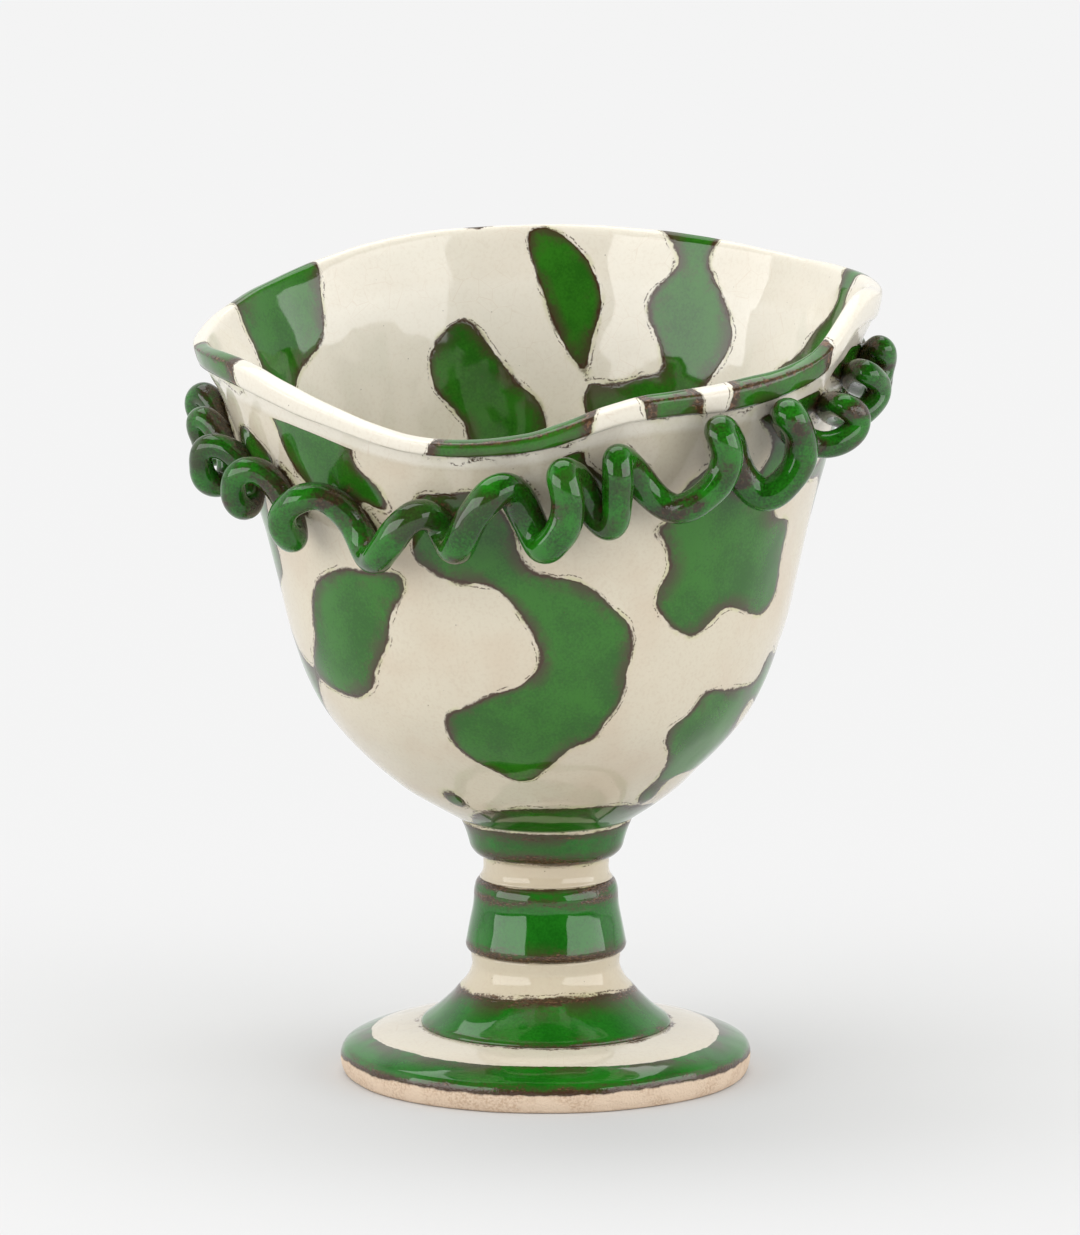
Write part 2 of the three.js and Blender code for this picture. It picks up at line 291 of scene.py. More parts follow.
@dataclass(frozen=True)
class BowlForm:
    """Shape of the thrown bowl, its pulled mouth and its lean, as the solids have it."""

    seat: float
    base_radius: float = 12
    wall: float = 4
    floor: float = 6
    height: float = 100
    lip_round: float = 2.4
    lip_out: float = 0.5
    sway: float = 1.9
    sway_ease: float = 14
    throwing: Stations = (
        (17.6, 2.5),
        (30, 10.9),
        (42.7, 25),
        (49.8, 42),
        (53.4, 63),
        (56.6, 86),
        (58.7, 95),
    )
    mouth_width: float = 67.4
    mouth_depth: float = 60.5
    pinch: float = 1.6
    pinch_sharpness: float = 10
    pull_start: float = 42
    pull_ease: float = 1.8
    rise: ClosedCurve = ClosedCurve(
        (
            (0, 10),
            (30, 10.5),
            (60, 12),
            (90, 13.4),
            (120, 11.2),
            (150, 5),
            (175, -0.2),
            (205, -0.6),
            (225, -5.7),
            (247, -11.2),
            (268, -10.1),
            (288, -3.6),
            (310, -2),
            (330, 2),
            (345, 10.6),
        )
    )
    line_points: int = 240
    halvings: int = 24
    probe: float = 1

    @property
    def lip_radius(self) -> float:
        """Radius of the rolled lip's centre before the mouth is pulled."""
        return self.throwing[-1][0] - self.wall / 2 + self.lip_out

    def thrown(self, share: Array) -> Array:
        """Points of the thrown wall's outside.

        Args:
            share: Places along the spline, 0 at the base and 1 under the lip.

        Returns:
            Radius and height on the last axis.
        """
        points = np.array(self.throwing, float)
        place = np.clip(share, 0, 1) * (len(points) - 1)
        index = np.minimum(place.astype(int), len(points) - 2)
        t = (place - index)[:, None]
        p0, p1 = points[np.maximum(index - 1, 0)], points[index]
        p2, p3 = points[index + 1], points[np.minimum(index + 2, len(points) - 1)]
        v0, v1 = (p2 - p0) / 2, (p3 - p1) / 2
        return (
            (2 * p1 - 2 * p2 + v0 + v1) * t**3
            + (-3 * p1 + 3 * p2 - 2 * v0 - v1) * t**2
            + v0 * t
            + p1
        )

    def thrown_radius(self, height: Array) -> Array:
        """Radius of the thrown outside at heights over the base."""
        line = np.vstack([[self.base_radius, 0], self.thrown(np.linspace(0, 1, self.line_points))])
        return np.interp(height, line[:, 1], line[:, 0])

    def pulled(self, height: Array) -> Array:
        """How far the pulling of the mouth has taken hold at a height."""
        share = (height - self.pull_start) / (self.height - self.pull_start)
        return np.clip(share, 0, 1) ** self.pull_ease

    def reach(self, angle: Array) -> Array:
        """Reach of the mouth's outer edge.

        Args:
            angle: Angles round the bowl.

        Returns:
            The way from the bowl's axis to the edge.
        """
        cosine, sine = np.cos(np.radians(angle)), np.sin(np.radians(angle))
        oval = 1 / np.hypot(cosine / self.mouth_width, sine / self.mouth_depth)
        return oval + self.pinch * np.abs(cosine) ** self.pinch_sharpness

    def shaped(self, angle: Array, radius: Array, height: Array) -> Array:
        """Place of a point of the thrown bowl after pulling and leaning.

        Args:
            angle: Angles round the bowl.
            radius: Radii on the thrown bowl.
            height: Heights over the bowl's base.

        Returns:
            Places with x, y and z on the last axis, over the table.
        """
        hold = self.pulled(height)
        r = radius + hold * (self.reach(angle) - self.lip_radius - self.lip_round)
        z = height + hold * self.rise.at(angle)
        turn = np.radians(angle)
        above = np.maximum(height - self.throwing[0][1], 0)
        lean = self.sway * (1 - np.exp(-above / self.sway_ease))
        return np.stack([r * np.cos(turn) - lean, r * np.sin(turn), z + self.seat], axis=-1)

    def wall_point(self, angle: Array, height: Array) -> Array:
        """Point of the finished wall's outside.

        Args:
            angle: Angles round the bowl.
            height: Finished heights over the base.

        Returns:
            Places over the table.
        """
        rise = self.rise.at(angle)
        low, high = np.zeros_like(height), np.full_like(height, self.height)
        for _ in range(self.halvings):
            middle = (low + high) / 2
            under = middle + self.pulled(middle) * rise < height
            low, high = np.where(under, middle, low), np.where(under, high, middle)
        return self.shaped(angle, self.thrown_radius(low), low)

    def off_wall(self, angle: Array, height: Array, gap: Array, out: Array) -> Array:
        """Point that stands off the finished wall by a gap square to it, then straight out.

        Args:
            angle: Angles round the bowl.
            height: Finished heights over the base.
            gap: Gap square to the wall.
            out: Further way out.

        Returns:
            Places over the table.
        """
        here, above = (self.wall_point(angle, height + up) for up in (0, self.probe))
        turn = np.radians(angle)
        outward = np.stack([np.cos(turn), np.sin(turn), np.zeros_like(turn)], axis=-1)
        slope = ((above - here) * outward).sum(-1) / self.probe
        return here + outward * (gap * np.hypot(1, slope) + out)[..., None]

    def way_out(self, points: Array) -> Array:
        """Level way from the finished wall's outside to places outside it, below 0 inside.

        Args:
            points: Places over the table.

        Returns:
            One way for each place.
        """
        flat = points[..., :2] + (self.sway, 0)
        angle = np.degrees(np.arctan2(flat[..., 1], flat[..., 0]))
        wall = self.wall_point(angle, np.maximum(points[..., 2] - self.seat, 0))
        wall = wall[..., :2] + (self.sway, 0)
        return np.linalg.norm(flat, axis=-1) - np.linalg.norm(wall, axis=-1)


class Coil(NamedTuple):
    """One turn of the rope, from its bottom over its outer strand to its top."""

    bottom_angle: float
    bottom_drop: float
    top_angle: float
    top_drop: float
    reach: float
    lean: float
    width: float


@dataclass(frozen=True)
class RopeForm:
    """Route and thickness of the corkscrew rope, after the solids and with its swelling in front.

    Drops are measured from the bowl's height down, reach is half the depth of a turn, and lean
    is how far its outer strand runs ahead. Starts are the turn numbers where the lengths start.
    """

    bowl: BowlForm
    hidden_turns: int = 11
    hidden_depth: float = 20
    hidden_height: float = 4.1
    hidden_swing: float = 0.5
    hidden_rhythm: float = 2
    hidden_reach: float = 2.3
    hidden_width: float = 5.4
    hidden_uneven: float = 0.5
    hidden_width_rhythm: float = 1.7
    slack: float = 0.45
    press: float = 0.35
    outer_strand: float = 0.25
    front: tuple[Coil, ...] = (
        Coil(167.5, 21.8, 171.5, 14, 2.9, 0, 5.2),
        Coil(179.5, 24.4, 184, 16.2, 2.1, 0, 5.3),
        Coil(190.5, 28.4, 195.5, 19.6, 3.5, 0, 5.6),
        Coil(204, 30.4, 209, 22.1, 3.3, -0.6, 5.6),
        Coil(219, 34.2, 226.5, 24.6, 3.4, -2, 6.1),
        Coil(238.5, 36, 248.5, 26.3, 3, 0, 6.5),
        Coil(255, 32.4, 264, 20, 3, -0.6, 6.8),
        Coil(271.5, 32, 275, 17.2, 3.2, 2.2, 7),
        Coil(283.4, 28, 284.7, 14.4, 2.8, 0.4, 6.1),
        Coil(296, 25.4, 303, 10, 3.2, 3.8, 6.6),
        Coil(314.5, 24.4, 316.5, 8.2, 3, 4.2, 6.9),
        Coil(328, 16.2, 331, 8.8, 4, 2.8, 5.8),
        Coil(340, 12.8, 341, 3.8, 3, 4.5, 5.6),
        Coil(352, 9, 353, 1.4, 1.9, 2.5, 5.2),
    )
    starts: tuple[float, ...] = (4.75, 7.75, 10.75, 16.75, 23.75)

    def coils(self) -> list[Coil]:
        """All turns of the rope: those in front as wound, those behind evenly spaced.

        Returns:
            The turns in order.
        """
        last = self.front[-1].top_angle
        pitch = (self.front[0].bottom_angle + 360 - last) / (self.hidden_turns + 0.5)
        hidden = []
        for i in range(self.hidden_turns):
            bottom = last + pitch * (i + 0.5)
            top = bottom + pitch / 2
            half = self.hidden_height + self.hidden_swing * math.sin(self.hidden_rhythm * i)
            low = self.hidden_depth - float(self.bowl.rise.at(bottom)) + half
            high = self.hidden_depth - float(self.bowl.rise.at(top)) - half
            width = self.hidden_width + self.hidden_uneven * math.sin(self.hidden_width_rhythm * i)
            hidden.append(Coil(bottom, low, top, high, self.hidden_reach, 0, width))
        return [*self.front, *hidden]

    def columns(self) -> Coil:
        """All turns as one coil whose numbers are arrays."""
        return Coil(*np.array(self.coils()).T)

    def width_at(self, turn: Array) -> Array:
        """Width of the rope at turn numbers."""
        return looped(self.columns().width, turn - self.outer_strand)

    def lines(self, turn: Array) -> tuple[Array, Array]:
        """Centre line of the rope and the line that it winds round.

        Args:
            turn: Turn numbers: whole at a turn's bottom and a half more at its top.

        Returns:
            Places on both lines, over the table.
        """
        coils = self.columns()
        angles = np.stack([coils.bottom_angle, coils.top_angle], axis=1).ravel()
        drops = np.stack([coils.bottom_drop, coils.top_drop], axis=1).ravel()
        middles = (np.roll(drops, 1) + 2 * drops + np.roll(drops, -1)) / 4
        passed = np.floor(2 * turn).astype(int)
        ease = (1 - np.cos(math.pi * (2 * turn - passed))) / 2
        ends = [drops[(passed + shift) % len(drops)] for shift in (0, 1)]
        drop = ends[0] * (1 - ease) + ends[1] * ease
        middle = looped(middles, 2 * turn)
        swing = np.sin(2 * math.pi * turn)
        outer = turn - self.outer_strand
        reach = looped(coils.reach, outer)
        lean = looped(coils.lean, outer) * np.maximum(swing, 0) ** 2
        angle = looped(angles, 2 * turn, 360) + np.degrees(lean / self.bowl.mouth_depth)
        gap = looped(coils.width, outer) / 2 - self.press
        up = middle - drop
        followed = self.bowl.height - middle + np.where(up > 0, up, self.slack * up)
        line = self.bowl.off_wall(angle, followed, gap, reach * (1 + swing))
        line[:, 2] = self.bowl.height - drop + self.bowl.seat
        axis = self.bowl.off_wall(angle, self.bowl.height - middle, gap, reach)
        axis[:, 2] = self.bowl.height - middle + self.bowl.seat
        return line, axis


@dataclass(frozen=True)
class Mottle:
    """Patches of soft noise that fade in between two of its values, low and high."""

    size: float
    shift: float
    low: float
    high: float
    detail: float = 2


@dataclass(frozen=True)
class Waver:
    """Noise about 0 that strays by about a quarter of its reach to both sides."""

    size: float
    shift: float
    reach: float
    detail: float = 2


@dataclass(frozen=True)
class Specks:
    """Specks in the middles of cells, faint at their outer way and full at the inner, in patches."""

    size: float
    shift: float
    outer: float
    inner: float
    patches: Mottle
    strength: float = 0.6


class Graph:
    """Short forms for building one tree of nodes.

    Sizes of patterns are in millimetres, and a shift says which part of a pattern is taken, so
    that no two patterns of one size are alike.
    """

    def __init__(self, tree: bpy.types.NodeTree, coordinates: str) -> None:
        """Empties a tree.

        Args:
            tree: The tree of a material or the world.
            coordinates: The texture coordinates that its patterns follow.
        """
        self.tree = tree
        self.tree.nodes.clear()
        self.place = self.add("ShaderNodeTexCoord").outputs[coordinates]

    @classmethod
    def of_material(cls, name: str) -> tuple[bpy.types.Material, "Graph"]:
        """Makes a material with an empty tree.

        Args:
            name: The material's name.

        Returns:
            The material and its graph.
        """
        material = bpy.data.materials.new(name)
        material.use_nodes = True
        return material, cls(material.node_tree, "Object")

    def add(self, kind: str, inputs: dict | None = None, **settings: object) -> bpy.types.Node:
        """Adds a node.

        Args:
            kind: The node's type.
            inputs: Values or sockets for its inputs, by name or number.
            **settings: Properties of the node.

        Returns:
            The node.
        """
        node = self.tree.nodes.new(kind)
        for name, value in settings.items():
            setattr(node, name, value)
        for key, value in (inputs or {}).items():
            socket = node.inputs[key]
            if isinstance(value, Socket):
                self.tree.links.new(value, socket)
            else:
                socket.default_value = value
        return node

    def math(self, operation: str, first: Value, second: Value = 0.0) -> Socket:
        """Result of a math node on two numbers or sockets."""
        return self.add("ShaderNodeMath", {0: first, 1: second}, operation=operation).outputs[0]

    def total(self, *terms: Value) -> Socket:
        """Sum of several numbers or sockets."""
        return reduce(lambda first, second: self.math("ADD", first, second), terms)

    def times(self, *terms: Value) -> Socket:
        """Product of several numbers or sockets."""
        return reduce(lambda first, second: self.math("MULTIPLY", first, second), terms)

    def share(self, value: Value, low: Value, high: Value) -> Socket:
        """Share from 0 at low to 1 at high with soft ends; high may be under low."""
        inputs = {"Value": value, "From Min": low, "From Max": high}
        return self.add("ShaderNodeMapRange", inputs, interpolation_type="SMOOTHSTEP").outputs[0]

    def blend(self, share: Value, under: Tint, over: Tint) -> Socket:
        """Colour between two colours.

        Args:
            share: How much of the second colour shows.
            under: First colour, three numbers or a socket.
            over: Second colour, three numbers or a socket.

        Returns:
            The mixed colour.
        """
        colours = [value if isinstance(value, Socket) else (*value, 1) for value in (under, over)]
        # Inputs 6 and 7 and output 2 are the mix node's colours.
        inputs = {0: share, 6: colours[0], 7: colours[1]}
        return self.add("ShaderNodeMix", inputs, data_type="RGBA").outputs[2]

    def between(self, share: Value, under: Value, over: Value) -> Socket:
        """Number between two numbers; the share says how much of the second counts."""
        return self.add("ShaderNodeMix", {0: share, 2: under, 3: over}).outputs[0]

    def moved(self, shift: float, flat: float = 1) -> Socket:
        """The place, shifted, and flattened in height."""
        inputs = {"Vector": self.place, "Location": (shift, shift / 2, -shift), "Scale": (1, 1, flat)}
        return self.add("ShaderNodeMapping", inputs).outputs[0]

    def noise(self, size: float, shift: float, detail: float = 2, flat: float = 1) -> Socket:
        """Soft noise, about 0.25 to 0.75, with finer noise by detail, and flattened in height."""
        inputs = {"Vector": self.moved(shift, flat), "Scale": 1 / (size * MM), "Detail": detail}
        return self.add("ShaderNodeTexNoise", inputs).outputs["Fac"]

    def patches(self, mottle: Mottle, flat: float = 1) -> Socket:
        """Share of a mottle's patches, flattened in height."""
        noise = self.noise(mottle.size, mottle.shift, mottle.detail, flat)
        return self.share(noise, mottle.low, mottle.high)

    def waver(self, waver: Waver, flat: float = 1) -> Socket:
        """Value of a waver, flattened in height."""
        noise = self.noise(waver.size, waver.shift, waver.detail, flat)
        return self.times(self.math("SUBTRACT", noise, 0.5), waver.reach)

    def cells(self, size: float, shift: float, feature: str = "F1") -> Socket:
        """Way from the middles or the edges of cells, in shares of their size."""
        inputs = {"Vector": self.moved(shift), "Scale": 1 / (size * MM)}
        return self.add("ShaderNodeTexVoronoi", inputs, feature=feature).outputs["Distance"]

    def specks(self, specks: Specks) -> Socket:
        """Share of specks in their patches."""
        spots = self.share(self.cells(specks.size, specks.shift), specks.outer, specks.inner)
        return self.times(spots, self.patches(specks.patches), specks.strength)

    def near(self, value: Value, place: Value, width: Value) -> Socket:
        """Share that is 1 where a value is at a place and 0 from a width away."""
        return self.share(self.math("ABSOLUTE", self.math("SUBTRACT", value, place)), width, 0.0)

    def attribute(self, name: str) -> Socket:
        """Value of a number that the mesh carries at its points."""
        return self.add("ShaderNodeAttribute", attribute_name=name).outputs["Fac"]


@dataclass(frozen=True)
class PaintedGlaze:
    """Glossy crackle glaze, cream with green painted where the mesh's edge value is below 0.

    The mesh carries five numbers: edge, the way in millimetres from the nearest edge of green;
    bare, the way into unglazed clay; oxide, the way from where brown oxide lies thick, which on
    the rope's side by the wall is partly painted shade; lined, how strongly the edge of the green
    is drawn; and inside, how much paler the cream is painted there as light.

    Reaches, gaps, widths, heights and depths are in millimetres, and strengths are shares of a
    colour. Tones are the values of a noise between which a colour changes. The smoke and the
    fringe darken the green towards its edge, and the echo is a second, broken line beside it. Where
    brushed is over 1, the oxide's strokes run round the piece. The rim is the brown edge of the
    glaze over the bare clay.
    """

    name: str
    cream: Colour = (0.63, 0.572, 0.452)
    cream_warm: Colour = (0.60, 0.516, 0.396)
    # Paler cream painted where the inside number is set: painted light on the bowl's inside, the lip
    # and the foot.
    painted_light_cream: Colour = (0.79, 0.75, 0.66)
    cream_grain: Colour = (0.53, 0.44, 0.33)
    cream_halo: Colour = (0.50, 0.50, 0.25)
    green: Colour = (0.025, 0.150, 0.008)
    green_deep: Colour = (0.015, 0.098, 0.005)
    olive: Colour = (0.052, 0.050, 0.019)
    oxide: Colour = (0.050, 0.024, 0.012)
    oxide_light: Colour = (0.16, 0.080, 0.040)
    clay: Colour = (0.69, 0.545, 0.41)
    clay_dark: Colour = (0.54, 0.39, 0.27)
    wobble: float = 1.4
    wobble_size: float = 7
    shake: float = 0.4
    shake_size: float = 1.3
    edge_blur: float = 0.08
    near_edge: float = 0.1
    streak_size: float = 9
    streak_share: float = 0.6
    streak_grain: float = 0.5
    streak_tones: Span = (0.36, 0.6)
    smoke_strength: float = 0.95
    smoke_reach: float = 5
    smoke_size: float = 9
    smoke_waver: Waver = Waver(0.8, 27, 0.3)
    smoke_tones: Span = (0.4, 0.58)
    fringe_strength: float = 0.85
    fringe_reach: float = 1.8
    green_specks: Specks = Specks(1.5, 5, 0.13, 0.06, Mottle(2.5, 6, 0.52, 0.62))
    warm_patches: Mottle = Mottle(18, 7, 0.42, 0.7, 3)
    painted_light_strength: float = 0.85
    grain: Mottle = Mottle(0.7, 32, 0.46, 0.7, 3)
    grain_strength: float = 0.3
    grain_strength_inside: float = 0.1
    crackle_size: float = 4.6
    crackle_width: float = 0.016
    crackle_strength: float = 0.22
    crackle_patches: Mottle = Mottle(11, 9, 0.42, 0.6)
    halo_reach: float = 1.3
    halo_strength: float = 0.55
    halo_patches: Mottle = Mottle(6, 10, 0.45, 0.62)
    echo_gap: float = 0.6
    echo_drift: Waver = Waver(6, 11, 2.6)
    echo_width: float = 0.22
    echo_swell: Waver = Waver(1.5, 28, 0.3)
    echo_strength: float = 0.95
    echo_stretches: Mottle = Mottle(7, 12, 0.44, 0.52)
    echo_grit: Mottle = Mottle(0.5, 13, 0.42, 0.54)
    cream_specks: Specks = Specks(2, 14, 0.085, 0.045, Mottle(3, 15, 0.54, 0.64))
    line_place: float = -0.12
    line_width: float = 0.2
    line_swell: float = 0.6
    line_swells: Mottle = Mottle(4, 17, 0.36, 0.66)
    line_shake: Waver = Waver(0.6, 29, 0.5)
    line_faintest: float = 0.45
    line_bold: Mottle = Mottle(9, 30, 0.4, 0.52)
    line_broken: float = 0.75
    line_grit_tones: Span = (0.35, 0.6)
    line_strength: float = 0.92
    grit_size: float = 0.6
    brushed: float = 1
    brush_size: float = 2.4
    brush_reach: float = 3.6
    oxide_grit: Waver = Waver(0.6, 24, 2.2)
    brown_reach: Span = (1.1, 0.2)
    brown_strength: float = 0.9
    brown_flecks: Mottle = Mottle(0.9, 31, 0.48, 0.66, 3)
    stain_reach: Span = (2.2, 0.5)
    stain_strength: float = 0.7
    bare_drift: Waver = Waver(3.4, 19, 1.4, 3)
    bare_blur: Span = (-0.06, 0.1)
    rim_place: float = 0.3
    rim_reach: Span = (0.7, 0.2)
    rim_faintest: float = 0.35
    rim_strength: float = 0.95
    clay_grain_size: float = 0.5
    clay_grain_tones: Span = (0.34, 0.62)
    clay_patches: Mottle = Mottle(7, 21, 0.38, 0.6)
    gloss_roughness: float = 0.03
    dull_roughness: float = 0.06
    dull_size: float = 5
    burnt_roughness: float = 0.14
    clay_roughness: float = 0.85
    pooling: Waver = Waver(6, 23, 0.09, 1)
    paint_height: float = 0.04
    line_depth: float = 0.03
    pitting: Waver = Waver(0.8, 25, 0.16)
    clay_relief: float = 0.22
    clay_depth: float = 0.08
    ior: float = 1.53

    def edge(self, g: Graph) -> Socket:
        """Way from the edge of the green, unsteady as a brush draws it.

        Args:
            g: The graph.

        Returns:
            The way in millimetres, below 0 in the green.
        """
        slow = Waver(self.wobble_size, shift=1, reach=self.wobble)
        quick = Waver(self.shake_size, shift=2, reach=self.wobble * self.shake)
        return g.total(g.attribute("edge"), g.waver(slow), g.waver(quick))

    def greens(self, g: Graph, edge: Socket) -> Socket:
        """Colour of the green, streaked, and smoky towards its edges.

        Args:
            g: The graph.
            edge: Way from the edge of the green.

        Returns:
            The colour.
        """
        streaks = g.times(g.noise(self.streak_size, shift=3, detail=3), self.streak_share)
        fine = g.times(g.noise(self.streak_grain, shift=26), 1 - self.streak_share)
        tone = g.share(g.total(streaks, fine), *self.streak_tones)
        colour = g.blend(tone, self.green_deep, self.green)
        cloud = g.total(g.noise(self.smoke_size, shift=4), g.waver(self.smoke_waver))
        smoke = g.share(edge, -self.smoke_reach, -self.near_edge)
        smoke = g.times(smoke, g.share(cloud, *self.smoke_tones), self.smoke_strength)
        colour = g.blend(smoke, colour, self.olive)
        fringe = g.share(edge, -self.fringe_reach, -self.near_edge)
        fringe = g.times(fringe, g.attribute("lined"), self.fringe_strength)
        colour = g.blend(fringe, colour, self.olive)
        return g.blend(g.specks(self.green_specks), colour, self.oxide)

    def creams(self, g: Graph, edge: Socket) -> Socket:
        """Colour of the cream with grain, crackle, specks, and a halo and an echo by the green.

        Args:
            g: The graph.
            edge: Way from the edge of the green.

        Returns:
            The colour.
        """
        inside, lined = g.attribute("inside"), g.attribute("lined")
        colour = g.blend(g.patches(self.warm_patches), self.cream, self.cream_warm)
        # Painted light: the cream is painted paler by the inside number.
        colour = g.blend(g.times(inside, self.painted_light_strength), colour, self.painted_light_cream)
        less = self.grain_strength_inside - self.grain_strength
        strength = g.total(self.grain_strength, g.times(inside, less))
        colour = g.blend(g.times(g.patches(self.grain), strength), colour, self.cream_grain)
        crackle = g.cells(self.crackle_size, shift=8, feature="DISTANCE_TO_EDGE")
        crackle = g.share(crackle, self.crackle_width, 0.0)
        crackle = g.times(crackle, g.patches(self.crackle_patches), self.crackle_strength)
        colour = g.blend(crackle, colour, self.clay_dark)
        halo = g.share(edge, self.halo_reach, self.near_edge)
        halo = g.times(halo, g.patches(self.halo_patches), lined, self.halo_strength)
        colour = g.blend(halo, colour, self.cream_halo)
        place = g.total(self.echo_gap, g.waver(self.echo_drift))
        width = g.total(self.echo_width, g.waver(self.echo_swell))
        shown = g.times(g.patches(self.echo_stretches), g.patches(self.echo_grit))
        echo = g.times(g.near(edge, place, width), shown, lined, self.echo_strength)
        colour = g.blend(echo, colour, self.oxide)
        return g.blend(g.specks(self.cream_specks), colour, self.oxide)

    def line(self, g: Graph, edge: Socket, grit: Socket) -> Socket:
        """Brown line along the edge of the green, of uneven width and boldness.

        Args:
            g: The graph.
            edge: Way from the edge of the green.
            grit: Fine noise.

        Returns:
            The line's share, 0 to 1.
        """
        swell = g.times(g.patches(self.line_swells), self.line_swell)
        width = g.total(self.line_width, swell, g.waver(self.line_shake))
        bold = g.times(g.patches(self.line_bold), 1 - self.line_faintest)
        bold = g.total(self.line_faintest, bold)
        line = g.times(g.near(edge, self.line_place, width), bold, g.attribute("lined"))
        unbroken = g.total(self.line_broken, g.share(grit, *self.line_grit_tones))
        return g.math("MINIMUM", g.times(line, unbroken), 1.0)

    def gathered(self, g: Graph) -> Socket:
        """Way from where brown oxide lies thick, brushed on along the rings.

        Args:
            g: The graph.

        Returns:
            The way in millimetres.
        """
        size = self.brush_size * math.sqrt(self.brushed)
        strokes = Waver(size, shift=18, reach=self.brush_reach, detail=3)
        brushing = g.waver(strokes, self.brushed)
        return g.total(g.attribute("oxide"), brushing, g.waver(self.oxide_grit))

    def clays(self, g: Graph, grain: Socket) -> Socket:
        """Colour of the bare clay, with the noise of its grain."""
        colour = g.blend(g.share(grain, *self.clay_grain_tones), self.clay_dark, self.clay)
        return g.blend(g.patches(self.clay_patches), colour, self.clay)

    def build(self) -> bpy.types.Material:
        """Makes the material.

        Returns:
            The finished material.
        """
        material, g = Graph.of_material(self.name)
        edge = self.edge(g)
        painted = g.share(edge, self.edge_blur, -self.edge_blur)
        grit = g.noise(self.grit_size, shift=16)
        line = self.line(g, edge, grit)
        gathered = self.gathered(g)
        brown = g.share(gathered, *self.brown_reach)
        stain = g.times(g.share(gathered, *self.stain_reach), painted, self.stain_strength)
        burnt = g.blend(g.patches(self.brown_flecks, self.brushed), self.oxide, self.oxide_light)
        bare_way = g.total(g.attribute("bare"), g.waver(self.bare_drift))
        bare = g.share(bare_way, *self.bare_blur)
        glazed = g.math("SUBTRACT", 1.0, bare)
        grain = g.noise(self.clay_grain_size, shift=20, detail=4)
        rim = g.share(g.math("ABSOLUTE", g.math("ADD", bare_way, self.rim_place)), *self.rim_reach)
        rim = g.times(rim, g.total(self.rim_faintest, grit))

        colour = g.blend(painted, self.creams(g, edge), self.greens(g, edge))
        colour = g.blend(g.times(line, self.line_strength), colour, self.oxide)
        colour = g.blend(stain, colour, self.olive)
        colour = g.blend(g.times(brown, self.brown_strength), colour, burnt)
        colour = g.blend(bare, colour, self.clays(g, grain))
        colour = g.blend(g.math("MINIMUM", rim, self.rim_strength), colour, self.oxide)

        dull = g.times(g.noise(self.dull_size, shift=22), self.dull_roughness)
        glossy = g.total(self.gloss_roughness, dull, g.times(brown, self.burnt_roughness))
        roughness = g.total(g.times(glazed, glossy), g.times(bare, self.clay_roughness))
        height = g.total(
            g.times(glazed, g.waver(self.pooling)),
            g.times(painted, self.paint_height),
            g.times(line, -self.line_depth),
            g.times(brown, g.waver(self.pitting)),
            g.times(bare, g.total(g.times(grain, self.clay_relief), -self.clay_depth)),
        )
        bump = {"Height": height, "Distance": MM, "Strength": 1.0}
        normal = g.add("ShaderNodeBump", bump).outputs[0]
        inputs = {"Base Color": colour, "Roughness": roughness, "Normal": normal, "IOR": self.ior}
        shader = g.add("ShaderNodeBsdfPrincipled", inputs)
        g.add("ShaderNodeOutputMaterial", {"Surface": shader.outputs[0]})
        return material


@dataclass(frozen=True)
class StudioPaper:
    """Pale paper under the goblet that the camera sees fade to the tone of the backdrop.

    The fade starts and ends at the ways from the goblet in fade_from, in metres, and fade_strength
    is the backdrop's share past it.
    """

    name: str
    backdrop: float
    tone: float = 0.61
    fade_strength: float = 0.98
    fade_from: Span = (0.05, 0.32)

    def build(self) -> bpy.types.Material:
        """Makes the material.

        Returns:
            The finished material.
        """
        material, g = Graph.of_material(self.name)
        paper = g.add("ShaderNodeBsdfDiffuse", {"Color": grey(self.tone)})
        glow = g.add("ShaderNodeEmission", {"Color": grey(self.backdrop), "Strength": 1.0})
        far = g.add("ShaderNodeVectorMath", {0: g.place}, operation="LENGTH").outputs["Value"]
        seen = g.add("ShaderNodeLightPath").outputs["Is Camera Ray"]
        fade = g.times(g.share(far, *self.fade_from), seen, self.fade_strength)
        mixed = g.add("ShaderNodeMixShader", {0: fade, 1: paper.outputs[0], 2: glow.outputs[0]})
        g.add("ShaderNodeOutputMaterial", {"Surface": mixed.outputs[0]})
        return material


@dataclass
class Skin:
    """Grid of points of one piece, ring by ring, with the numbers that its glaze reads."""

    points: Array
    edge: Array
    bare: Array
    oxide: Array
    lined: Array
    inside: Array

    @classmethod
    def of(cls, points: Array) -> "Skin":
        """A plain cream skin over a grid of points, away from all paint, oxide and bare clay.

        Args:
            points: Rings of places in millimetres.

        Returns:
            The skin.
        """
        shape = points.shape[:-1]
        even = [np.full(shape, value) for value in (FAR, -FAR, FAR, 1.0, 0.0)]
        return cls(points, *even)

    def numbers(self) -> dict[str, Array]:
        """The numbers that the glaze reads, by name."""
        names = ("edge", "bare", "oxide", "lined", "inside")
        return {name: getattr(self, name) for name in names}

    def part(self, rings: Array) -> "Skin":
        """The skin of some of the rings."""
        return Skin(self.points[rings], *(grid[rings] for grid in self.numbers().values()))

    def normals(self) -> Array:
        """Finds which way the skin faces.

        Returns:
            The outward direction at each of the grid's points.
        """
        along = np.gradient(self.points, axis=0)
        across = np.roll(self.points, -1, axis=1) - np.roll(self.points, 1, axis=1)
        return unit(np.cross(across, along))


class Ends(Enum):
    """How the first and last ring of a skin are closed."""

    CAPPED = 0
    JOINED = 1


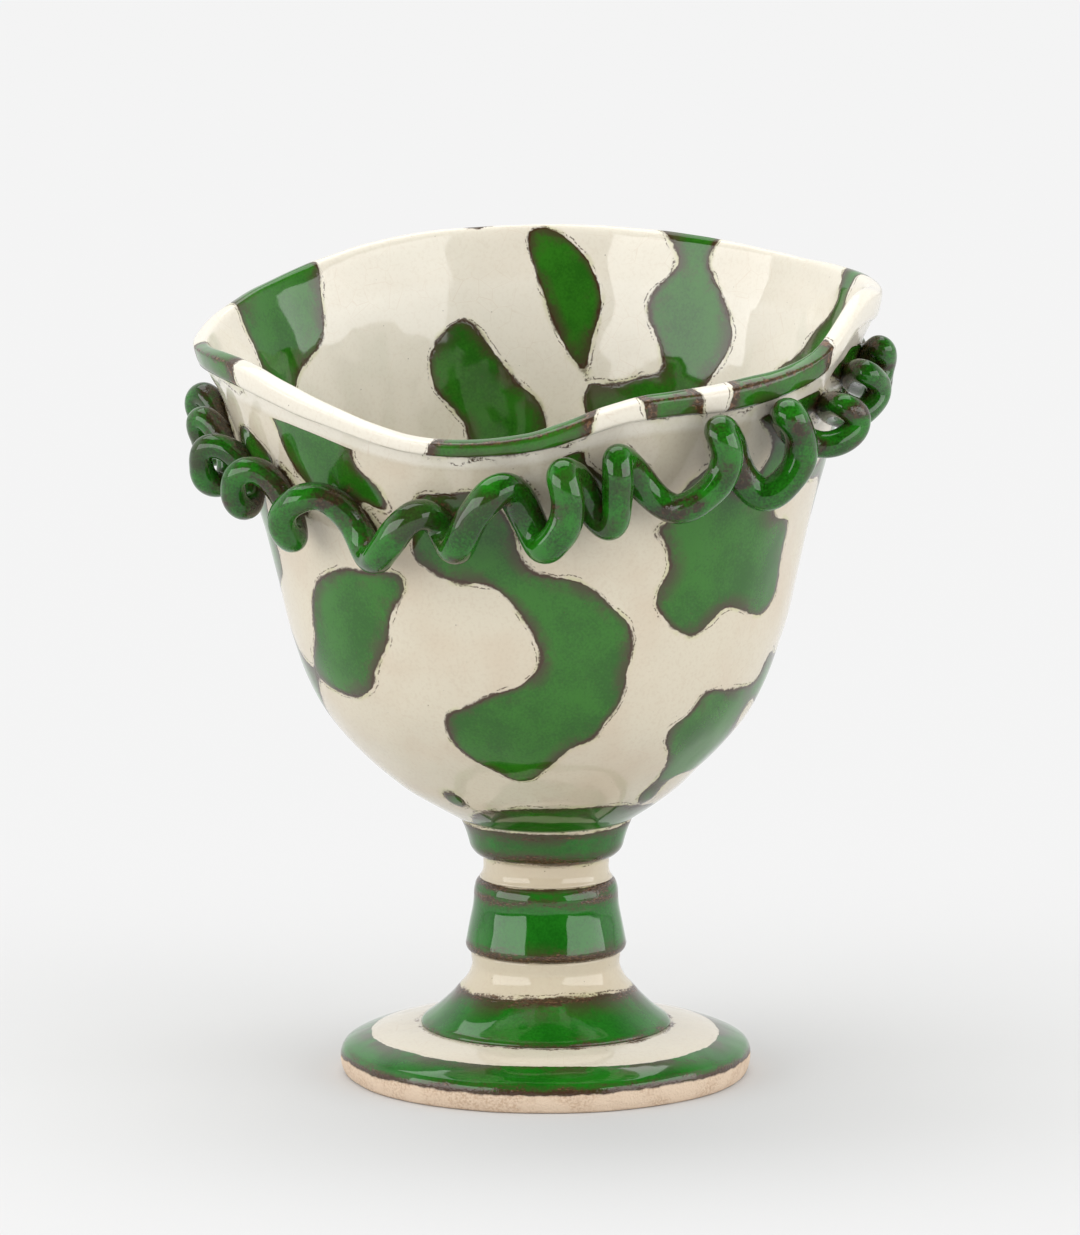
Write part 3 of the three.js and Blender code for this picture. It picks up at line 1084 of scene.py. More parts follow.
@dataclass(frozen=True)
class Maker:
    """Turns a skin into a piece of the scene."""

    name: str
    node: str
    slot: Slot
    material: bpy.types.Material
    ends: Ends = Ends.CAPPED

    def faces(self, rings: int, around: int) -> list[tuple[int, ...]]:
        """Corners of the faces over a grid of rings.

        Args:
            rings: Number of rings.
            around: Points in a ring.

        Returns:
            The faces, with caps on two extra points after the grid's where the ends are capped.
        """
        index = np.arange(rings * around).reshape(rings, around)
        if self.ends is Ends.JOINED:
            index = np.vstack([index, index[:1]])
        after = np.roll(index, -1, axis=1)
        grid = np.stack([index[:-1], after[:-1], after[1:], index[1:]], axis=-1).reshape(-1, 4)
        faces = [tuple(face) for face in grid.tolist()]
        if self.ends is Ends.CAPPED:
            first, last = rings * around, rings * around + 1
            faces += [(first, b, a) for a, b in zip(index[0].tolist(), after[0].tolist())]
            faces += [(last, a, b) for a, b in zip(index[-1].tolist(), after[-1].tolist())]
        return faces

    def build(self, skin: Skin) -> bpy.types.Object:
        """Makes a closed, smooth piece of a skin.

        Args:
            skin: The skin.

        Returns:
            The piece.
        """
        capped = self.ends is Ends.CAPPED
        vertices = skin.points.reshape(-1, 3)
        if capped:
            vertices = np.vstack([vertices, skin.points[0].mean(0), skin.points[-1].mean(0)])
        mesh = bpy.data.meshes.new(self.name)
        mesh.from_pydata((vertices * MM).tolist(), [], self.faces(*skin.points.shape[:2]))
        for key, grid in skin.numbers().items():
            values = grid.ravel()
            if capped:
                values = np.concatenate([values, [grid[0].mean(), grid[-1].mean()]])
            attribute = mesh.attributes.new(key, "FLOAT", "POINT")
            attribute.data.foreach_set("value", values.astype(np.float32))
        mesh.shade_smooth()
        mesh.materials.append(self.material)
        piece = bpy.data.objects.new(self.name, mesh)
        bpy.context.scene.collection.objects.link(piece)
        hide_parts(self.node)
        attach(piece, BODY)
        LOG.info("%s: %d points, stands for %s", self.name, len(mesh.vertices), self.node)
        return piece


@dataclass
class Rope:
    """Corkscrew rope of clay, in the lengths that it was rolled in."""

    form: RopeForm
    material: bpy.types.Material
    sides: int = 28
    steps_per_turn: int = 64
    flatness: float = 0.93
    uneven: float = 0.16
    swell: Ripple = Ripple(5, 9)
    tuck: float = 0.985
    green_depth: float = 3.4
    smoke: Ripple = Ripple(21, 10)
    smoke_swing: float = 1.7
    smoke_limits: Span = (-1.2, 0.9)
    # How fast the brown by the wall fades with the way from it, and where it starts: partly oxide,
    # partly painted shade.
    oxide_and_shade_slope: float = 0.34
    oxide_and_shade_start: float = 0.4
    patches: Ripple = Ripple(8, 9)
    patch_way: float = 2.2
    patch_swing: float = 1.7
    patch_from: Span = (0.1, 1.2)
    line: Array = field(default_factory=lambda: np.zeros((0, 4)))

    def skin(self) -> Skin:
        """Makes the skin of the whole closed rope, and keeps its centre line for the bowl's wall.

        Returns:
            Rings of points, each as many as there are sides.
        """
        turn = np.arange(len(self.form.coils()) * self.steps_per_turn) / self.steps_per_turn
        line, axis = self.form.lines(turn)
        half = self.form.width_at(turn) / 2
        self.line = np.column_stack([line, half])
        ahead = unit(np.roll(line, -1, axis=0) - np.roll(line, 1, axis=0))
        inward = axis - line
        inward = unit(inward - ahead * (inward * ahead).sum(-1, keepdims=True))
        sideways = np.cross(ahead, inward)
        corner = np.linspace(0, 2 * math.pi, self.sides, endpoint=False)
        across = (np.cos(corner) * self.flatness)[:, None] * inward[:, None]
        across = across + np.sin(corner)[:, None] * sideways[:, None]
        points = line[:, None] + across * half[:, None, None]
        swell = self.swell.at(points) * self.uneven
        return Skin.of(points + unit(across) * swell[..., None])

    def dress(self, skin: Skin) -> None:
        """Gives the rope its green glaze, smoky in places, with brown oxide and painted shade by the
        wall.

        Args:
            skin: The rope's skin.
        """
        smoke = np.clip(self.smoke.at(skin.points), *self.smoke_limits)
        skin.edge[:] = self.smoke_swing * smoke - self.green_depth
        skin.lined[:] = 0
        # Brown near the bowl's wall: partly oxide in the crevice, partly painted shade on the strands'
        # side by the wall.
        burnt = self.form.bowl.way_out(skin.points) * self.oxide_and_shade_slope - self.oxide_and_shade_start
        patch = self.patch_swing * smooth_step(self.patches.at(skin.points), *self.patch_from)
        skin.oxide[:] = np.minimum(burnt, self.patch_way - patch)

    def build(self) -> None:
        """Makes the lengths, cut from one smooth skin so that no joint shows."""
        skin = self.skin()
        self.dress(skin)
        count = len(skin.points)
        starts = [round(start * self.steps_per_turn) for start in self.form.starts]
        ends = [*starts[1:], starts[0] + count]
        for number, (start, end) in enumerate(zip(starts, ends), start=1):
            rings = np.arange(start - 1, end + 2) % count
            length = skin.part(rings)
            for ring in (0, -1):
                middle = self.line[rings[ring], :3]
                length.points[ring] = middle + (length.points[ring] - middle) * self.tuck
            name, node = f"rope_coil_{number}", f"rope_length_{number}"
            Maker(name, node, Slot.ROPE, self.material).build(length)


@dataclass
class Bowl:
    """Thrown bowl with its rolled lip, painted shapes and striped lip.

    The lip's section is radius and height from the middle of the roll, and its stripes are the
    angles where each one starts and ends. The wall is welded to the rope within the weld's reach.
    """

    form: BowlForm
    rope: Rope
    material: bpy.types.Material
    around: int = 640
    wall_step: float = 0.75
    wall_points: int = 1200
    base_step: float = 1.2
    centre: float = 0.6
    floor_bend: float = 8
    weld_from: float = 8
    weld_reach: float = 2.2
    weld_height: float = 1.1
    weld_oxide: float = 1.1
    weld_green: float = 0.6
    uneven: tuple[tuple[Ripple, float], ...] = ((Ripple(2, 34), 0.28), (Ripple(3, 11), 0.06))
    uneven_from: Span = (3, 14)
    lip_rings: int = 6
    lip_steps: int = 3
    lip_section: Stations = (
        (1.62, -3.0),
        (1.95, -2.75),
        (2.42, -2.2),
        (2.55, -1.1),
        (2.5, 0.4),
        (2.32, 1.25),
        (1.75, 1.75),
        (0.7, 2.15),
        (-0.45, 2.35),
        (-1.2, 1.95),
        (-1.6, 1.05),
        (-1.95, -0.2),
        (-2.3, -1.6),
    )
    lip_around: float = 14.5
    lip_ridge: float = 6.6
    ridge_faint: float = 0.25
    stripe_bound: float = 1.1
    stripe_oxide: float = 0.3
    end_line: float = -0.7
    stripes: Stations = ((184, 205), (250.5, 281), (290, 301), (308, 333))
    stripe_slants: tuple[float, ...] = (-3, 4, -3, 3.5)
    striped: Span = (180, 352)
    base_band: ClosedCurve = ClosedCurve(
        (
            (0, 5),
            (60, 3.4),
            (120, 5.5),
            (180, 3.2),
            (222, 3.4),
            (246, 7.4),
            (270, 9),
            (300, 9),
            (330, 7.2),
        )
    )
    outer: Hide = Hide(seed=20, level=0.05, size=26, fine=0.22, fine_size=13)
    inner: Hide = Hide(seed=3, level=-0.16, size=28, fine=0.2, fine_size=14)
    paint_fade: float = 1.7
    paint_from: Span = (9, 27)
    # Painted light: how much the inside's cream is painted paler deep in the bowl, the heights over
    # which it reaches full, and on the lip.
    pale_deep: float = 0.3
    pale_from: Span = (55, 90)
    pale_lip: float = 0.8

    def profile(self) -> tuple[Array, Array]:
        """Profile of the bowl before pulling.

        Returns:
            Radius and height of each ring, and the side that it belongs to.
        """
        form = self.form
        fine = np.linspace(0, 1, self.wall_points)
        dense = form.thrown(fine)
        run = np.concatenate([[0], np.cumsum(np.linalg.norm(np.diff(dense, axis=0), axis=1))])
        places = np.linspace(0, run[-1], round(run[-1] / self.wall_step))
        outside = form.thrown(np.interp(places, run, fine))
        ahead = unit(np.gradient(outside, axis=0))
        inside = outside + np.stack([-ahead[:, 1], ahead[:, 0]], axis=1) * form.wall
        base = Outline(self.centre, 0, self.base_step).line(form.base_radius, 0)
        underside = base.line(*form.throwing[0]).array()[:-1]
        floor = Outline(*inside[0], self.base_step)
        floor = floor.bend(self.floor_bend, form.floor, self.centre, form.floor).array()[1:]
        outside, inside = (wall[: -self.lip_rings] for wall in (outside, inside))
        corners = np.array(self.lip_section) + (form.lip_radius, form.height - form.lip_round)
        lip = self.smooth_line(np.vstack([outside[-1], corners, inside[-1]]), self.lip_steps)
        parts = (
            (underside, Side.OUTSIDE),
            (outside, Side.OUTSIDE),
            (lip[1:-1], Side.LIP),
            (inside[::-1], Side.INSIDE),
            (floor, Side.INSIDE),
        )
        sides = np.concatenate([np.full(len(points), side.value) for points, side in parts])
        return np.vstack([points for points, _ in parts]), sides

    @staticmethod
    def smooth_line(corners: Array, steps: int) -> Array:
        """Smooth line through corners.

        Args:
            corners: Radius and height of each corner.
            steps: Points from one corner to the next.

        Returns:
            The points of the line.
        """
        padded = np.vstack([2 * corners[0] - corners[1], corners, 2 * corners[-1] - corners[-2]])
        points = []
        for i in range(len(corners) - 1):
            p0, p1, p2, p3 = padded[i : i + 4]
            for t in np.linspace(0, 1, steps, endpoint=False):
                curve = (2 * p0 - 5 * p1 + 4 * p2 - p3) * t**2 + (3 * p1 - p0 - 3 * p2 + p3) * t**3
                points.append((2 * p1 + (p2 - p0) * t + curve) / 2)
        return np.array([*points, corners[-1]])

    def stripe_ends(self, angle: Array, across: Array) -> Array:
        """Way from the nearest end of the lip's stripes.

        Args:
            angle: Angles of the lip's points.
            across: Way across the lip from its outer lower edge.

        Returns:
            The way in millimetres, below 0 between the ends of a stripe.
        """
        arc = self.form.mouth_depth * math.pi / 180
        ways = []
        for (start, end), slant in zip(self.stripes, self.stripe_slants):
            lean = slant * (across / self.lip_around - 0.5)
            ways.append(np.maximum((start - angle) * arc + lean, (angle - end) * arc - lean))
        return np.min(ways, axis=0)

    def paint(self, skin: Skin, sides: Array, heights: Array) -> None:
        """Lays the painted shapes, the lip's stripes and the band under the bowl.

        Args:
            skin: The bowl's skin.
            sides: The side that each ring belongs to.
            heights: Height of each ring before pulling.
        """
        normals = skin.normals()
        x = skin.points[..., 0] + self.form.sway
        angle = np.degrees(np.arctan2(skin.points[..., 1], x)) % 360
        fade = self.paint_fade * (1 - smooth_step(heights, *self.paint_from))[:, None]
        outside = sides == Side.OUTSIDE.value
        outer = self.outer.way(skin.points, normals, fade)
        inner = self.inner.way(skin.points, normals, fade)
        skin.edge[:] = np.where(outside[:, None], outer, inner)
        base = heights[outside][:, None] - self.base_band.at(angle[outside])
        skin.edge[outside] = np.minimum(skin.edge[outside], base)
        # The inside's cream is painted paler as light, fully near the mouth and less deep in the bowl.
        pale = self.pale_deep + (1 - self.pale_deep) * smooth_step(heights, *self.pale_from)
        skin.inside[:] = np.where(outside, 0, pale)[:, None]

        lip = sides == Side.LIP.value
        across = np.linspace(0, self.lip_around, lip.sum())[:, None] * np.ones(self.around)
        ends = self.stripe_ends(angle[lip], across)
        stripe = np.maximum(ends, self.stripe_bound - np.minimum(across, self.lip_around - across))
        striped = (angle[lip] > self.striped[0]) & (angle[lip] < self.striped[1])
        # The lip's cream is painted paler as light.
        skin.inside[lip] = self.pale_lip
        skin.edge[lip] = np.where(striped, stripe, inner[lip])
        ridge = band(across, self.lip_ridge, -self.ridge_faint)
        drawn = np.minimum(ridge, band(ends, self.end_line, self.stripe_oxide))
        skin.oxide[lip] = np.where(striped & (stripe < self.stripe_oxide), drawn, FAR)

    def weld(self, skin: Skin, sides: Array) -> None:
        """Draws the wall out to meet the rope, as pressed and slipped clay does.

        Args:
            skin: The bowl's skin.
            sides: The side that each ring belongs to.
        """
        line = self.rope.line
        tree = kdtree.KDTree(len(line))
        for i, point in enumerate(line):
            tree.insert(point[:3], i)
        tree.balance()
        low = line[:, 2].min() - self.weld_from
        normals = skin.normals()
        for ring in np.flatnonzero(sides == Side.OUTSIDE.value):
            if skin.points[ring, :, 2].max() < low:
                continue
            for column in range(self.around):
                _, index, far = tree.find(skin.points[ring, column])
                gap = far - line[index, 3]
                skin.oxide[ring, column] = gap * self.weld_oxide
                skin.edge[ring, column] = min(skin.edge[ring, column], gap - self.weld_green)
                if gap < self.weld_reach:
                    share = 1 - max(gap, 0) / self.weld_reach
                    skin.points[ring, column] += normals[ring, column] * self.weld_height * share**2

    def build(self) -> bpy.types.Object:
        """Makes the bowl.

        Returns:
            The bowl's piece.
        """
        profile, sides = self.profile()
        angle = np.linspace(0, 360, self.around, endpoint=False)
        radius, height = (profile[:, [i]] * np.ones(self.around) for i in (0, 1))
        skin = Skin.of(self.form.shaped(np.broadcast_to(angle, radius.shape), radius, height))
        self.paint(skin, sides, profile[:, 1])
        soft = smooth_step(profile[:, 1], *self.uneven_from)[:, None]
        uneven = sum(ripple.at(skin.points) * reach for ripple, reach in self.uneven)
        skin.points = skin.points + skin.normals() * (uneven * soft)[..., None]
        self.weld(skin, sides)
        return Maker("glazed_bowl", "bowl", Slot.BOWL, self.material).build(skin)


class Spots(NamedTuple):
    """Radius, height over the seat, and angle of the points of a turned skin."""

    radius: Array
    height: Array
    angle: Array


@dataclass
class Turned:
    """A turned piece of the stem with bands of glaze.

    Its painted rings drift up and down. Drifts are the reaches of that at one, two and more waves
    a turn, and the angle drift_turn sets where their crests lie.
    """

    material: bpy.types.Material
    name: str = ""
    node: str = ""
    bore: float = 7
    bore_rim: float = 4
    around: int = 320
    uneven: float = 0.1
    uneven_length: float = 19
    fine_uneven: float = 0.02
    fine_length: float = 6
    seed: int = 1
    fine_seed: int = 40
    uneven_from: Span = (8, 11)
    drifts: tuple[float, ...] = ()
    drift_turn: float = 0
    ends: Ends = Ends.JOINED

    def outline(self) -> Array:
        """Profile of the piece over its seat."""
        raise NotImplementedError

    def paint(self, skin: Skin, at: Spots) -> None:
        """Sets the bands of glaze on the skin."""
        raise NotImplementedError

    def drift(self, angle: Array) -> Array:
        """Slow drift of the painted rings.

        Args:
            angle: Angles round the stem.

        Returns:
            The way up in millimetres.
        """
        drift = np.zeros(angle.shape)
        for n, reach in enumerate(self.drifts, start=1):
            drift += reach * np.sin(np.radians(angle * n + self.drift_turn * n**2))
        return drift

    def build(self) -> bpy.types.Object:
        """Makes the piece.

        Returns:
            The piece.
        """
        profile = self.outline()
        turn = np.linspace(0, 2 * math.pi, self.around, endpoint=False)
        outward = np.stack([np.cos(turn), np.sin(turn), np.zeros_like(turn)], axis=-1)
        radius, height = (profile[:, [i]] * np.ones(self.around) for i in (0, 1))
        points = radius[..., None] * outward
        points[..., 2] = height + seat_of(self.node)
        skin = Skin.of(points)
        self.paint(skin, Spots(radius, height, np.broadcast_to(np.degrees(turn), radius.shape)))
        skin.bare[radius < self.bore + self.bore_rim] = FAR
        bump = Ripple(self.seed, self.uneven_length).at(points) * self.uneven
        fine = Ripple(self.seed + self.fine_seed, self.fine_length).at(points) * self.fine_uneven
        soft = smooth_step(radius, *self.uneven_from)
        skin.points = points + outward * ((bump + fine) * soft)[..., None]
        return Maker(self.name, self.node, Slot.STEM, self.material, self.ends).build(skin)


@dataclass
class Foot(Turned):
    """Shallow disc, hollow underneath, with a bare standing ring."""

    name: str = "glazed_foot"
    node: str = "foot"
    around: int = 420
    uneven: float = 0.2
    drifts: tuple[float, ...] = (0, 0.5, 0, 0.25, 0, 0, 0.2)
    drift_turn: float = 40
    radius: float = 41
    taper: float = 0.7
    ring_width: float = 6
    hollow: float = 5
    seat_height: float = 10
    seat_radius: float = 25.6
    ring_top: float = 5.1
    bare_width: float = 1.8
    glaze_line: float = 4.1
    glaze_drift: float = 0.3
    oxide_line: float = 4.3
    oxide_faint: float = 0.15
    fleck_faint: float = 0.5
    rim: float = 38
    rim_bottom: float = 3
    green_inner: float = 34.8
    inner_line: float = 0.12
    # How much paler the foot's cream is painted, as light.
    pale: float = 0.55

    def outline(self) -> Array:
        """Profile from the hollow, under the ring and over the edge to the seat.

        Returns:
            Radius and height of each point.
        """
        inner = self.radius - self.ring_width
        low = self.radius - self.taper
        line = Outline(self.bore, self.hollow).line(21.7, 4.6).bend(inner - 2.4, 3.07, inner, 0)
        line.line(low - 1, 0).bend(low, 0, low + 0.1, 0.7).bend(self.radius, 2, self.radius, 3.9)
        line.bend(self.radius, 5, self.radius - 0.7, 5.9)
        line.bend(self.radius - 1.1, 6.35, self.radius - 3, 7.15)
        line.bend(33.3, 9.0, self.seat_radius, self.seat_height)
        return line.line(self.bore, self.seat_height).array()

    def paint(self, skin: Skin, at: Spots) -> None:
        """Green over the edge, cream inside it, bare clay below.

        Args:
            skin: The foot's skin.
            at: Where its points lie.
        """
        drift = self.drift(at.angle)
        upper = at.height > self.rim_bottom
        skin.edge[:] = np.where(upper, self.green_inner + drift - at.radius, -FAR)
        skin.lined[:] = np.where(at.radius < self.rim, self.inner_line, 1)
        # The foot's cream is painted paler as light.
        skin.inside[:] = self.pale
        skin.bare[:] = self.glaze_line + self.glaze_drift * drift - at.height
        under = (at.radius < self.radius - self.bare_width) & (at.height < self.ring_top)
        skin.bare[under] = FAR
        flecks = band(at.radius, self.seat_radius, -self.fleck_faint)
        line = band(at.height, self.oxide_line, -self.oxide_faint)
        skin.oxide[:] = np.where(upper, np.where(at.radius > self.rim, line, flecks), FAR)


@dataclass
class Pedestal(Turned):
    """Flared cone with a rolled edge, drawn in to a neck."""

    name: str = "glazed_pedestal"
    node: str = "pedestal"
    seed: int = 6
    drifts: tuple[float, ...] = (0.1, 0.3, 0.25)
    drift_turn: float = 70
    height: float = 15
    green_top: float = 7.9
    upper_line: float = 7.6
    upper_faint: float = 0.3
    lower_line: float = 0.2
    lower_faint: float = 0.6

    def outline(self) -> Array:
        """Profile from under the cone up its side and over the neck.

        Returns:
            Radius and height of each point.
        """
        line = Outline(self.bore, 0).line(24.8, 0).bend(25.2, 0, 25.1, 0.4).bend(24.9, 0.9, 24.2, 1.4)
        line.bend(20.3, 4.1, 17.1, 8.1).bend(15.2, 9.9, 14.8, 12.4).line(15.1, self.height)
        return line.line(self.bore, self.height).array()

    def paint(self, skin: Skin, at: Spots) -> None:
        """Green on the cone with a brown ring over it, cream on the neck.

        Args:
            skin: The pedestal's skin.
            at: Where its points lie.
        """
        drift = self.drift(at.angle)
        skin.edge[:] = at.height - self.green_top - drift
        upper = band(at.height, self.upper_line + drift, -self.upper_faint)
        skin.oxide[:] = np.minimum(upper, band(at.height, self.lower_line, -self.lower_faint))


@dataclass
class Drum(Turned):
    """Thick waisted ring, green with brown along both edges."""

    name: str = "glazed_drum"
    node: str = "drum"
    uneven: float = 0.02
    seed: int = 9
    drifts: tuple[float, ...] = (0.15, 0.25, 0, 0, 0.2)
    drift_turn: float = 20
    height: float = 15
    shoulder: float = 14
    green_bottom: float = 0.4
    bottom_drift: float = 0.3
    green_top: float = 15.6
    top_drift: float = 0.6
    bottom_line: float = 0.9
    bottom_half: float = 0.2
    smoke_line: float = 11.2
    smoke_faint: float = 1.5
    upper_line: float = 12
    upper_drift: float = 0.5
    upper_faint: float = 0.75
    upper_beside: float = 0.7
    top_faint: float = 0.9
    top_beside: float = 1.5
    front_angle: float = 268
    beside_from: Span = (0.3, 0.85)

    def outline(self) -> Array:
        """Profile from the lower edge over the belly to the shoulder.

        Returns:
            Radius and height of each point.
        """
        line = Outline(self.bore, 0).line(14.9, 0).bend(16, 0.1, 16.1, 1.5)
        line.bend(15.45, 5, 14.8, 8.4).bend(14.5, 10, 14.45, 11.8).bend(14.4, 14.3, 13, self.height)
        return line.line(self.bore, self.height).array()

    def paint(self, skin: Skin, at: Spots) -> None:
        """Green between uneven brown rings, smoky under the upper one and less so in front.

        Args:
            skin: The drum's skin.
            at: Where its points lie.
        """
        drift = self.drift(at.angle)
        beside = np.abs(np.sin(np.radians(at.angle - self.front_angle)))
        beside = smooth_step(beside, *self.beside_from)
        across = at.height + np.maximum(self.shoulder - at.radius, 0)
        above = across - self.green_top - self.top_drift * drift
        below = self.green_bottom + self.bottom_drift * drift - at.height
        skin.edge[:] = np.maximum(above, below)
        upper = self.upper_line + self.upper_drift * drift
        rings = (
            band(at.height, self.bottom_line, self.bottom_half),
            band(at.height, self.smoke_line, -self.smoke_faint),
            band(at.height, upper, self.upper_beside * beside - self.upper_faint),
            band(across, self.height + drift, self.top_beside * beside - self.top_faint),
        )
        skin.oxide[:] = np.min(rings, axis=0)


@dataclass
class Collar(Turned):
    """Short neck under a flared cup that holds the bowl."""

    name: str = "glazed_collar"
    node: str = "collar"
    seed: int = 12
    drifts: tuple[float, ...] = (0.1, 0, 0.3, 0.15)
    drift_turn: float = 10
    bore_top: float = 6
    centre: float = 0.5
    cup_floor: float = 10
    green_bottom: float = 4.9
    green_top: float = 11.7
    top_drift: float = 0.4
    lower_line: float = 5.7
    lower_faint: float = 0.8
    upper_line: float = 10.8
    upper_faint: float = 1.4
    front_turn: float = 6
    front_from: Span = (0.3, 0.9)
    front_oxide: float = 0.7
    ends: Ends = Ends.CAPPED

    def outline(self) -> Array:
        """Profile of the hollow, the neck, the cup's side and its lip against the bowl.

        Returns:
            Radius and height of each point.
        """
        line = Outline(self.centre, self.bore_top).line(4.8, self.bore_top)
        line.bend(self.bore, self.bore_top, self.bore, 3.8).line(self.bore, 0)
        line.line(13.3, 0).bend(12.5, 0.8, 12.5, 2.3).line(12.6, 4.3)
        line.bend(14.6, 4.9, 15.3, 6.8).bend(15.9, 9.4, 16.9, 11.5).bend(17.2, 12.3, 16.6, 12.4)
        return line.line(12, self.cup_floor).line(self.centre, self.cup_floor).array()

    def paint(self, skin: Skin, at: Spots) -> None:
        """Cream neck, green cup with brown edges that are stronger in front.

        Args:
            skin: The collar's skin.
            at: Where its points lie.
        """
        drift = self.drift(at.angle)
        above = at.height - self.green_top - self.top_drift * drift
        skin.edge[:] = np.maximum(self.green_bottom + drift - at.height, above)
        front = smooth_step(-np.sin(np.radians(at.angle + self.front_turn)), *self.front_from)
        front = self.front_oxide * front
        upper = band(at.height, self.upper_line, front - self.upper_faint)
        lower = band(at.height, self.lower_line + drift, front - self.lower_faint)
        skin.oxide[:] = np.minimum(upper, lower)


@dataclass(frozen=True)
class Softbox:
    """A large rectangular lamp, sized and placed in metres.

    Azimuth 0 is in front of the goblet and grows to the right, and the power is in watts.
    """

    name: str
    azimuth: float
    elevation: float
    power: float
    width: float
    height: float = 0.8
    distance: float = 1.5

    def build(self, target: Vector) -> bpy.types.Object:
        """Hangs the lamp and turns it to the goblet.

        Args:
            target: What it points at, in metres.

        Returns:
            The lamp.
        """
        lamp = bpy.data.lights.new(self.name, "AREA")
        lamp.shape = "RECTANGLE"
        lamp.size = self.width
        lamp.size_y = self.height
        lamp.energy = self.power
        turn, up = math.radians(self.azimuth), math.radians(self.elevation)
        away = Vector((math.sin(turn) * math.cos(up), -math.cos(turn) * math.cos(up), math.sin(up)))
        item = bpy.data.objects.new(self.name, lamp)
        item.location = target + away * self.distance
        item.rotation_euler = (-away).to_track_quat("-Z", "Y").to_euler()
        bpy.context.scene.collection.objects.link(item)
        LOG.info("%s: %.0f W", self.name, self.power)
        return item


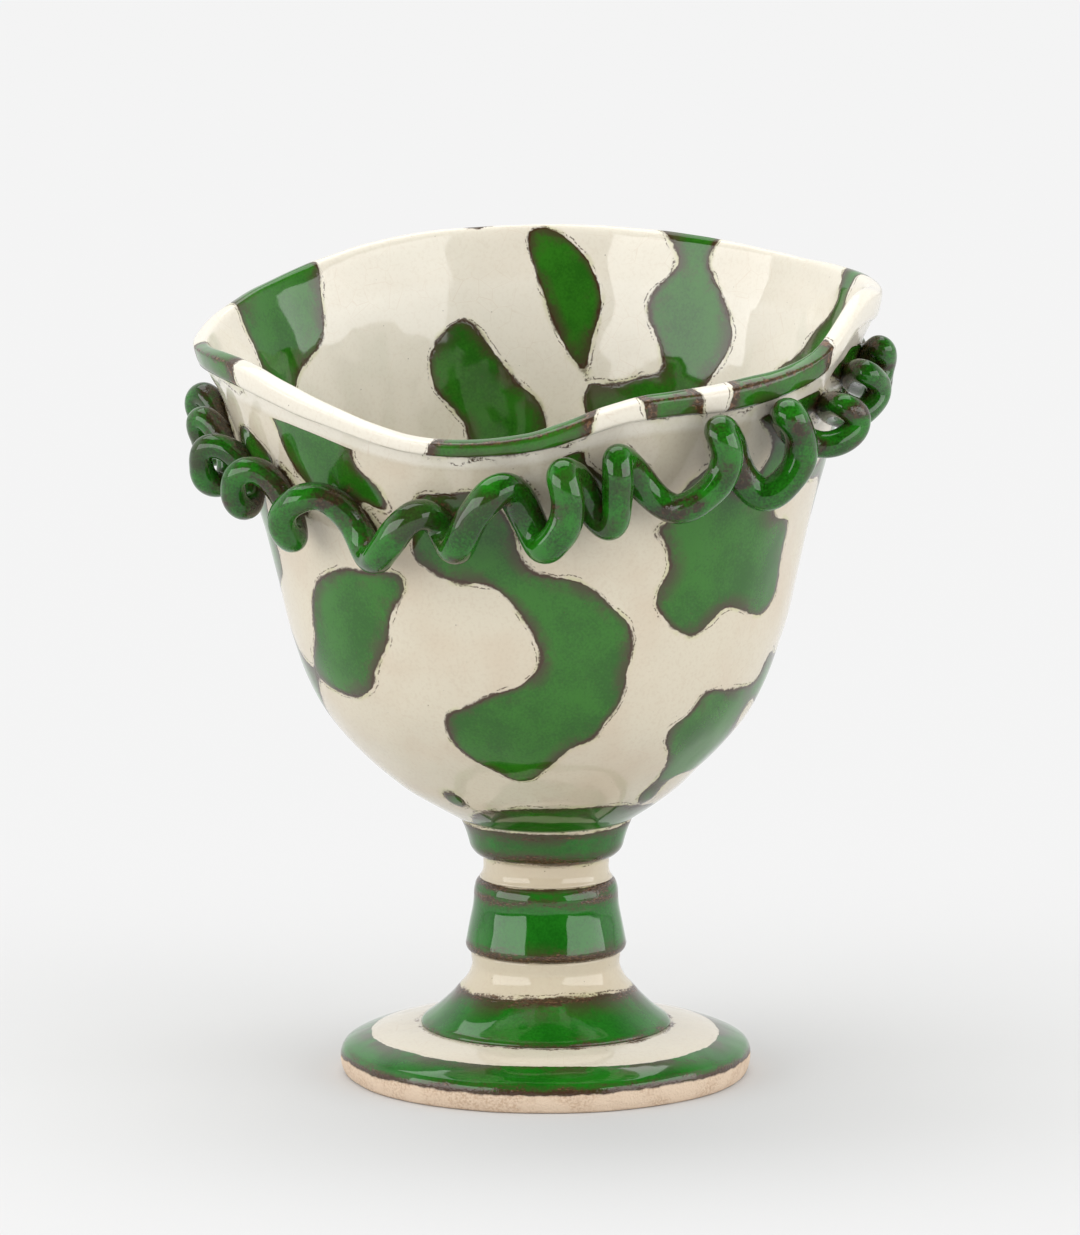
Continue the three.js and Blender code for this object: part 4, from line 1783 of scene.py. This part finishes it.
@dataclass
class Studio:
    """Pale floor, soft lamps and the camera at the photograph's angle.

    The floor's size and the camera's clip are in metres. Spans ending in from are the parts of a
    direction, -1 to 1, between which a light fades in.
    """

    camera_place: Triple = (0, -2600, 576.4)
    camera_target: Triple = (-1.2, 0, 92.6)
    lens: float = 385.8
    sensor: float = 36
    clip: Span = (0.05, 60)
    floor_size: float = 12
    backdrop: float = 0.908
    ambient_front: float = 0.04
    ambient_high: float = 0.85
    ambient_back: float = 0.15
    ambient_top: float = 0.64
    ambient_side: float = 0.36
    gloss_front: float = 0.05
    gloss_back: float = 0.9
    gloss_top: float = 0.12
    gloss_top_from: Span = (0.45, 0.85)
    behind_from: Span = (-0.4, 0.2)
    top_from: Span = (0.2, 0.9)
    high_from: Span = (0.15, 0.7)
    forward_from: Span = (0.1, -0.5)
    side_from: Span = (0.3, 0.9)
    lamp_target: Triple = (0, 0, 90)
    lamps: tuple[Softbox, ...] = (
        Softbox("left_softbox", azimuth=-58.5, elevation=14.5, power=12.5, width=1.6),
        Softbox("right_softbox", azimuth=63, elevation=14.5, power=12.5, width=1.8),
        Softbox("top_softbox", azimuth=-164, elevation=68, power=12, width=1.6, height=1.2),
    )

    def floor(self) -> bpy.types.Object:
        """Makes the floor of pale paper.

        Returns:
            The floor.
        """
        half = self.floor_size / 2
        mesh = bpy.data.meshes.new("floor")
        corners = [(-half, -half, 0), (half, -half, 0), (half, half, 0), (-half, half, 0)]
        mesh.from_pydata(corners, [], [(0, 1, 2, 3)])
        floor = bpy.data.objects.new("floor", mesh)
        bpy.context.scene.collection.objects.link(floor)
        mesh.materials.append(StudioPaper("pale_paper", self.backdrop).build())
        return floor

    def world(self) -> None:
        """Lights the surroundings.

        Surfaces get light from above, from high in front, from beside and a little from behind.
        Gloss shows a pale place behind and a dark one in front and overhead.
        """
        world = bpy.data.worlds.new("studio")
        bpy.context.scene.world = world
        world.use_nodes = True
        g = Graph(world.node_tree, "Generated")
        direction = g.add("ShaderNodeSeparateXYZ", {0: g.place}).outputs
        path = g.add("ShaderNodeLightPath").outputs
        behind = g.share(direction["Y"], *self.behind_from)
        overhead = g.share(direction["Z"], *self.gloss_top_from)
        gloss = g.total(self.gloss_front, g.times(behind, self.gloss_back - self.gloss_front))
        gloss = g.times(gloss, g.total(1.0, g.times(overhead, self.gloss_top - 1)))
        forward = g.share(direction["Y"], *self.forward_from)
        soft = g.total(
            self.ambient_front,
            g.times(behind, self.ambient_back),
            g.times(g.share(direction["Z"], *self.top_from), self.ambient_top),
            g.times(g.share(direction["Z"], *self.high_from), forward, self.ambient_high),
            g.times(g.share(g.math("ABSOLUTE", direction["X"]), *self.side_from), self.ambient_side),
        )
        level = g.between(path["Is Glossy Ray"], soft, gloss)
        seen = g.math("MAXIMUM", path["Is Camera Ray"], path["Is Transmission Ray"])
        strength = g.between(seen, level, self.backdrop)
        background = g.add("ShaderNodeBackground", {"Color": grey(1), "Strength": strength})
        g.add("ShaderNodeOutputWorld", {"Surface": background.outputs[0]})

    def camera(self) -> bpy.types.Object:
        """Makes the camera and sets it.

        Returns:
            The camera.
        """
        data = bpy.data.cameras.new("camera")
        data.lens = self.lens
        data.sensor_width = self.sensor
        data.sensor_fit = "AUTO"
        data.clip_start, data.clip_end = self.clip
        camera = bpy.data.objects.new("camera", data)
        camera.location = Vector(self.camera_place) * MM
        aim = (Vector(self.camera_target) - Vector(self.camera_place)).to_track_quat("-Z", "Y")
        camera.rotation_euler = aim.to_euler()
        bpy.context.scene.collection.objects.link(camera)
        bpy.context.scene.camera = camera
        return camera

    def build(self) -> None:
        """Sets up everything round the goblet."""
        bpy.context.scene.view_settings.view_transform = "Standard"
        self.camera()
        self.floor()
        self.world()
        for lamp in self.lamps:
            lamp.build(Vector(self.lamp_target) * MM)


def main() -> None:
    """Builds the goblet on its frame and reports each piece."""
    logging.basicConfig(level=logging.INFO, format="%(name)s: %(message)s")
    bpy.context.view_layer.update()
    LOG.info("the frame holds %d nodes", len(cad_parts))
    Studio().build()
    glaze = PaintedGlaze("painted_glaze").build()
    stem_glaze = PaintedGlaze(
        "stem_glaze",
        # The stem's cream is darker and warmer than the bowl's: partly its own tone, partly painted
        # shade on the stem under the bowl.
        cream=(0.585, 0.515, 0.385),
        cream_warm=(0.56, 0.475, 0.345),
        green=(0.011, 0.146, 0.007),
        green_deep=(0.006, 0.098, 0.004),
        wobble=0.9,
        brushed=5,
    ).build()
    rope_glaze = PaintedGlaze(
        "rope_glaze",
        green=(0.014, 0.150, 0.006),
        green_deep=(0.006, 0.050, 0.0015),
        olive=(0.030, 0.031, 0.011),
        # The rope's brown, by the wall partly painted shade.
        oxide=(0.030, 0.016, 0.008),
        oxide_light=(0.070, 0.036, 0.018),
        wobble=2,
        burnt_roughness=0.02,
    ).build()
    bowl_form = BowlForm(seat_of("bowl"))
    rope = Rope(RopeForm(bowl_form), rope_glaze)
    rope.build()
    Bowl(bowl_form, rope, glaze).build()
    for piece in (Foot(stem_glaze), Pedestal(stem_glaze), Drum(stem_glaze), Collar(stem_glaze)):
        piece.build()


if __name__ == "__main__":
    main()
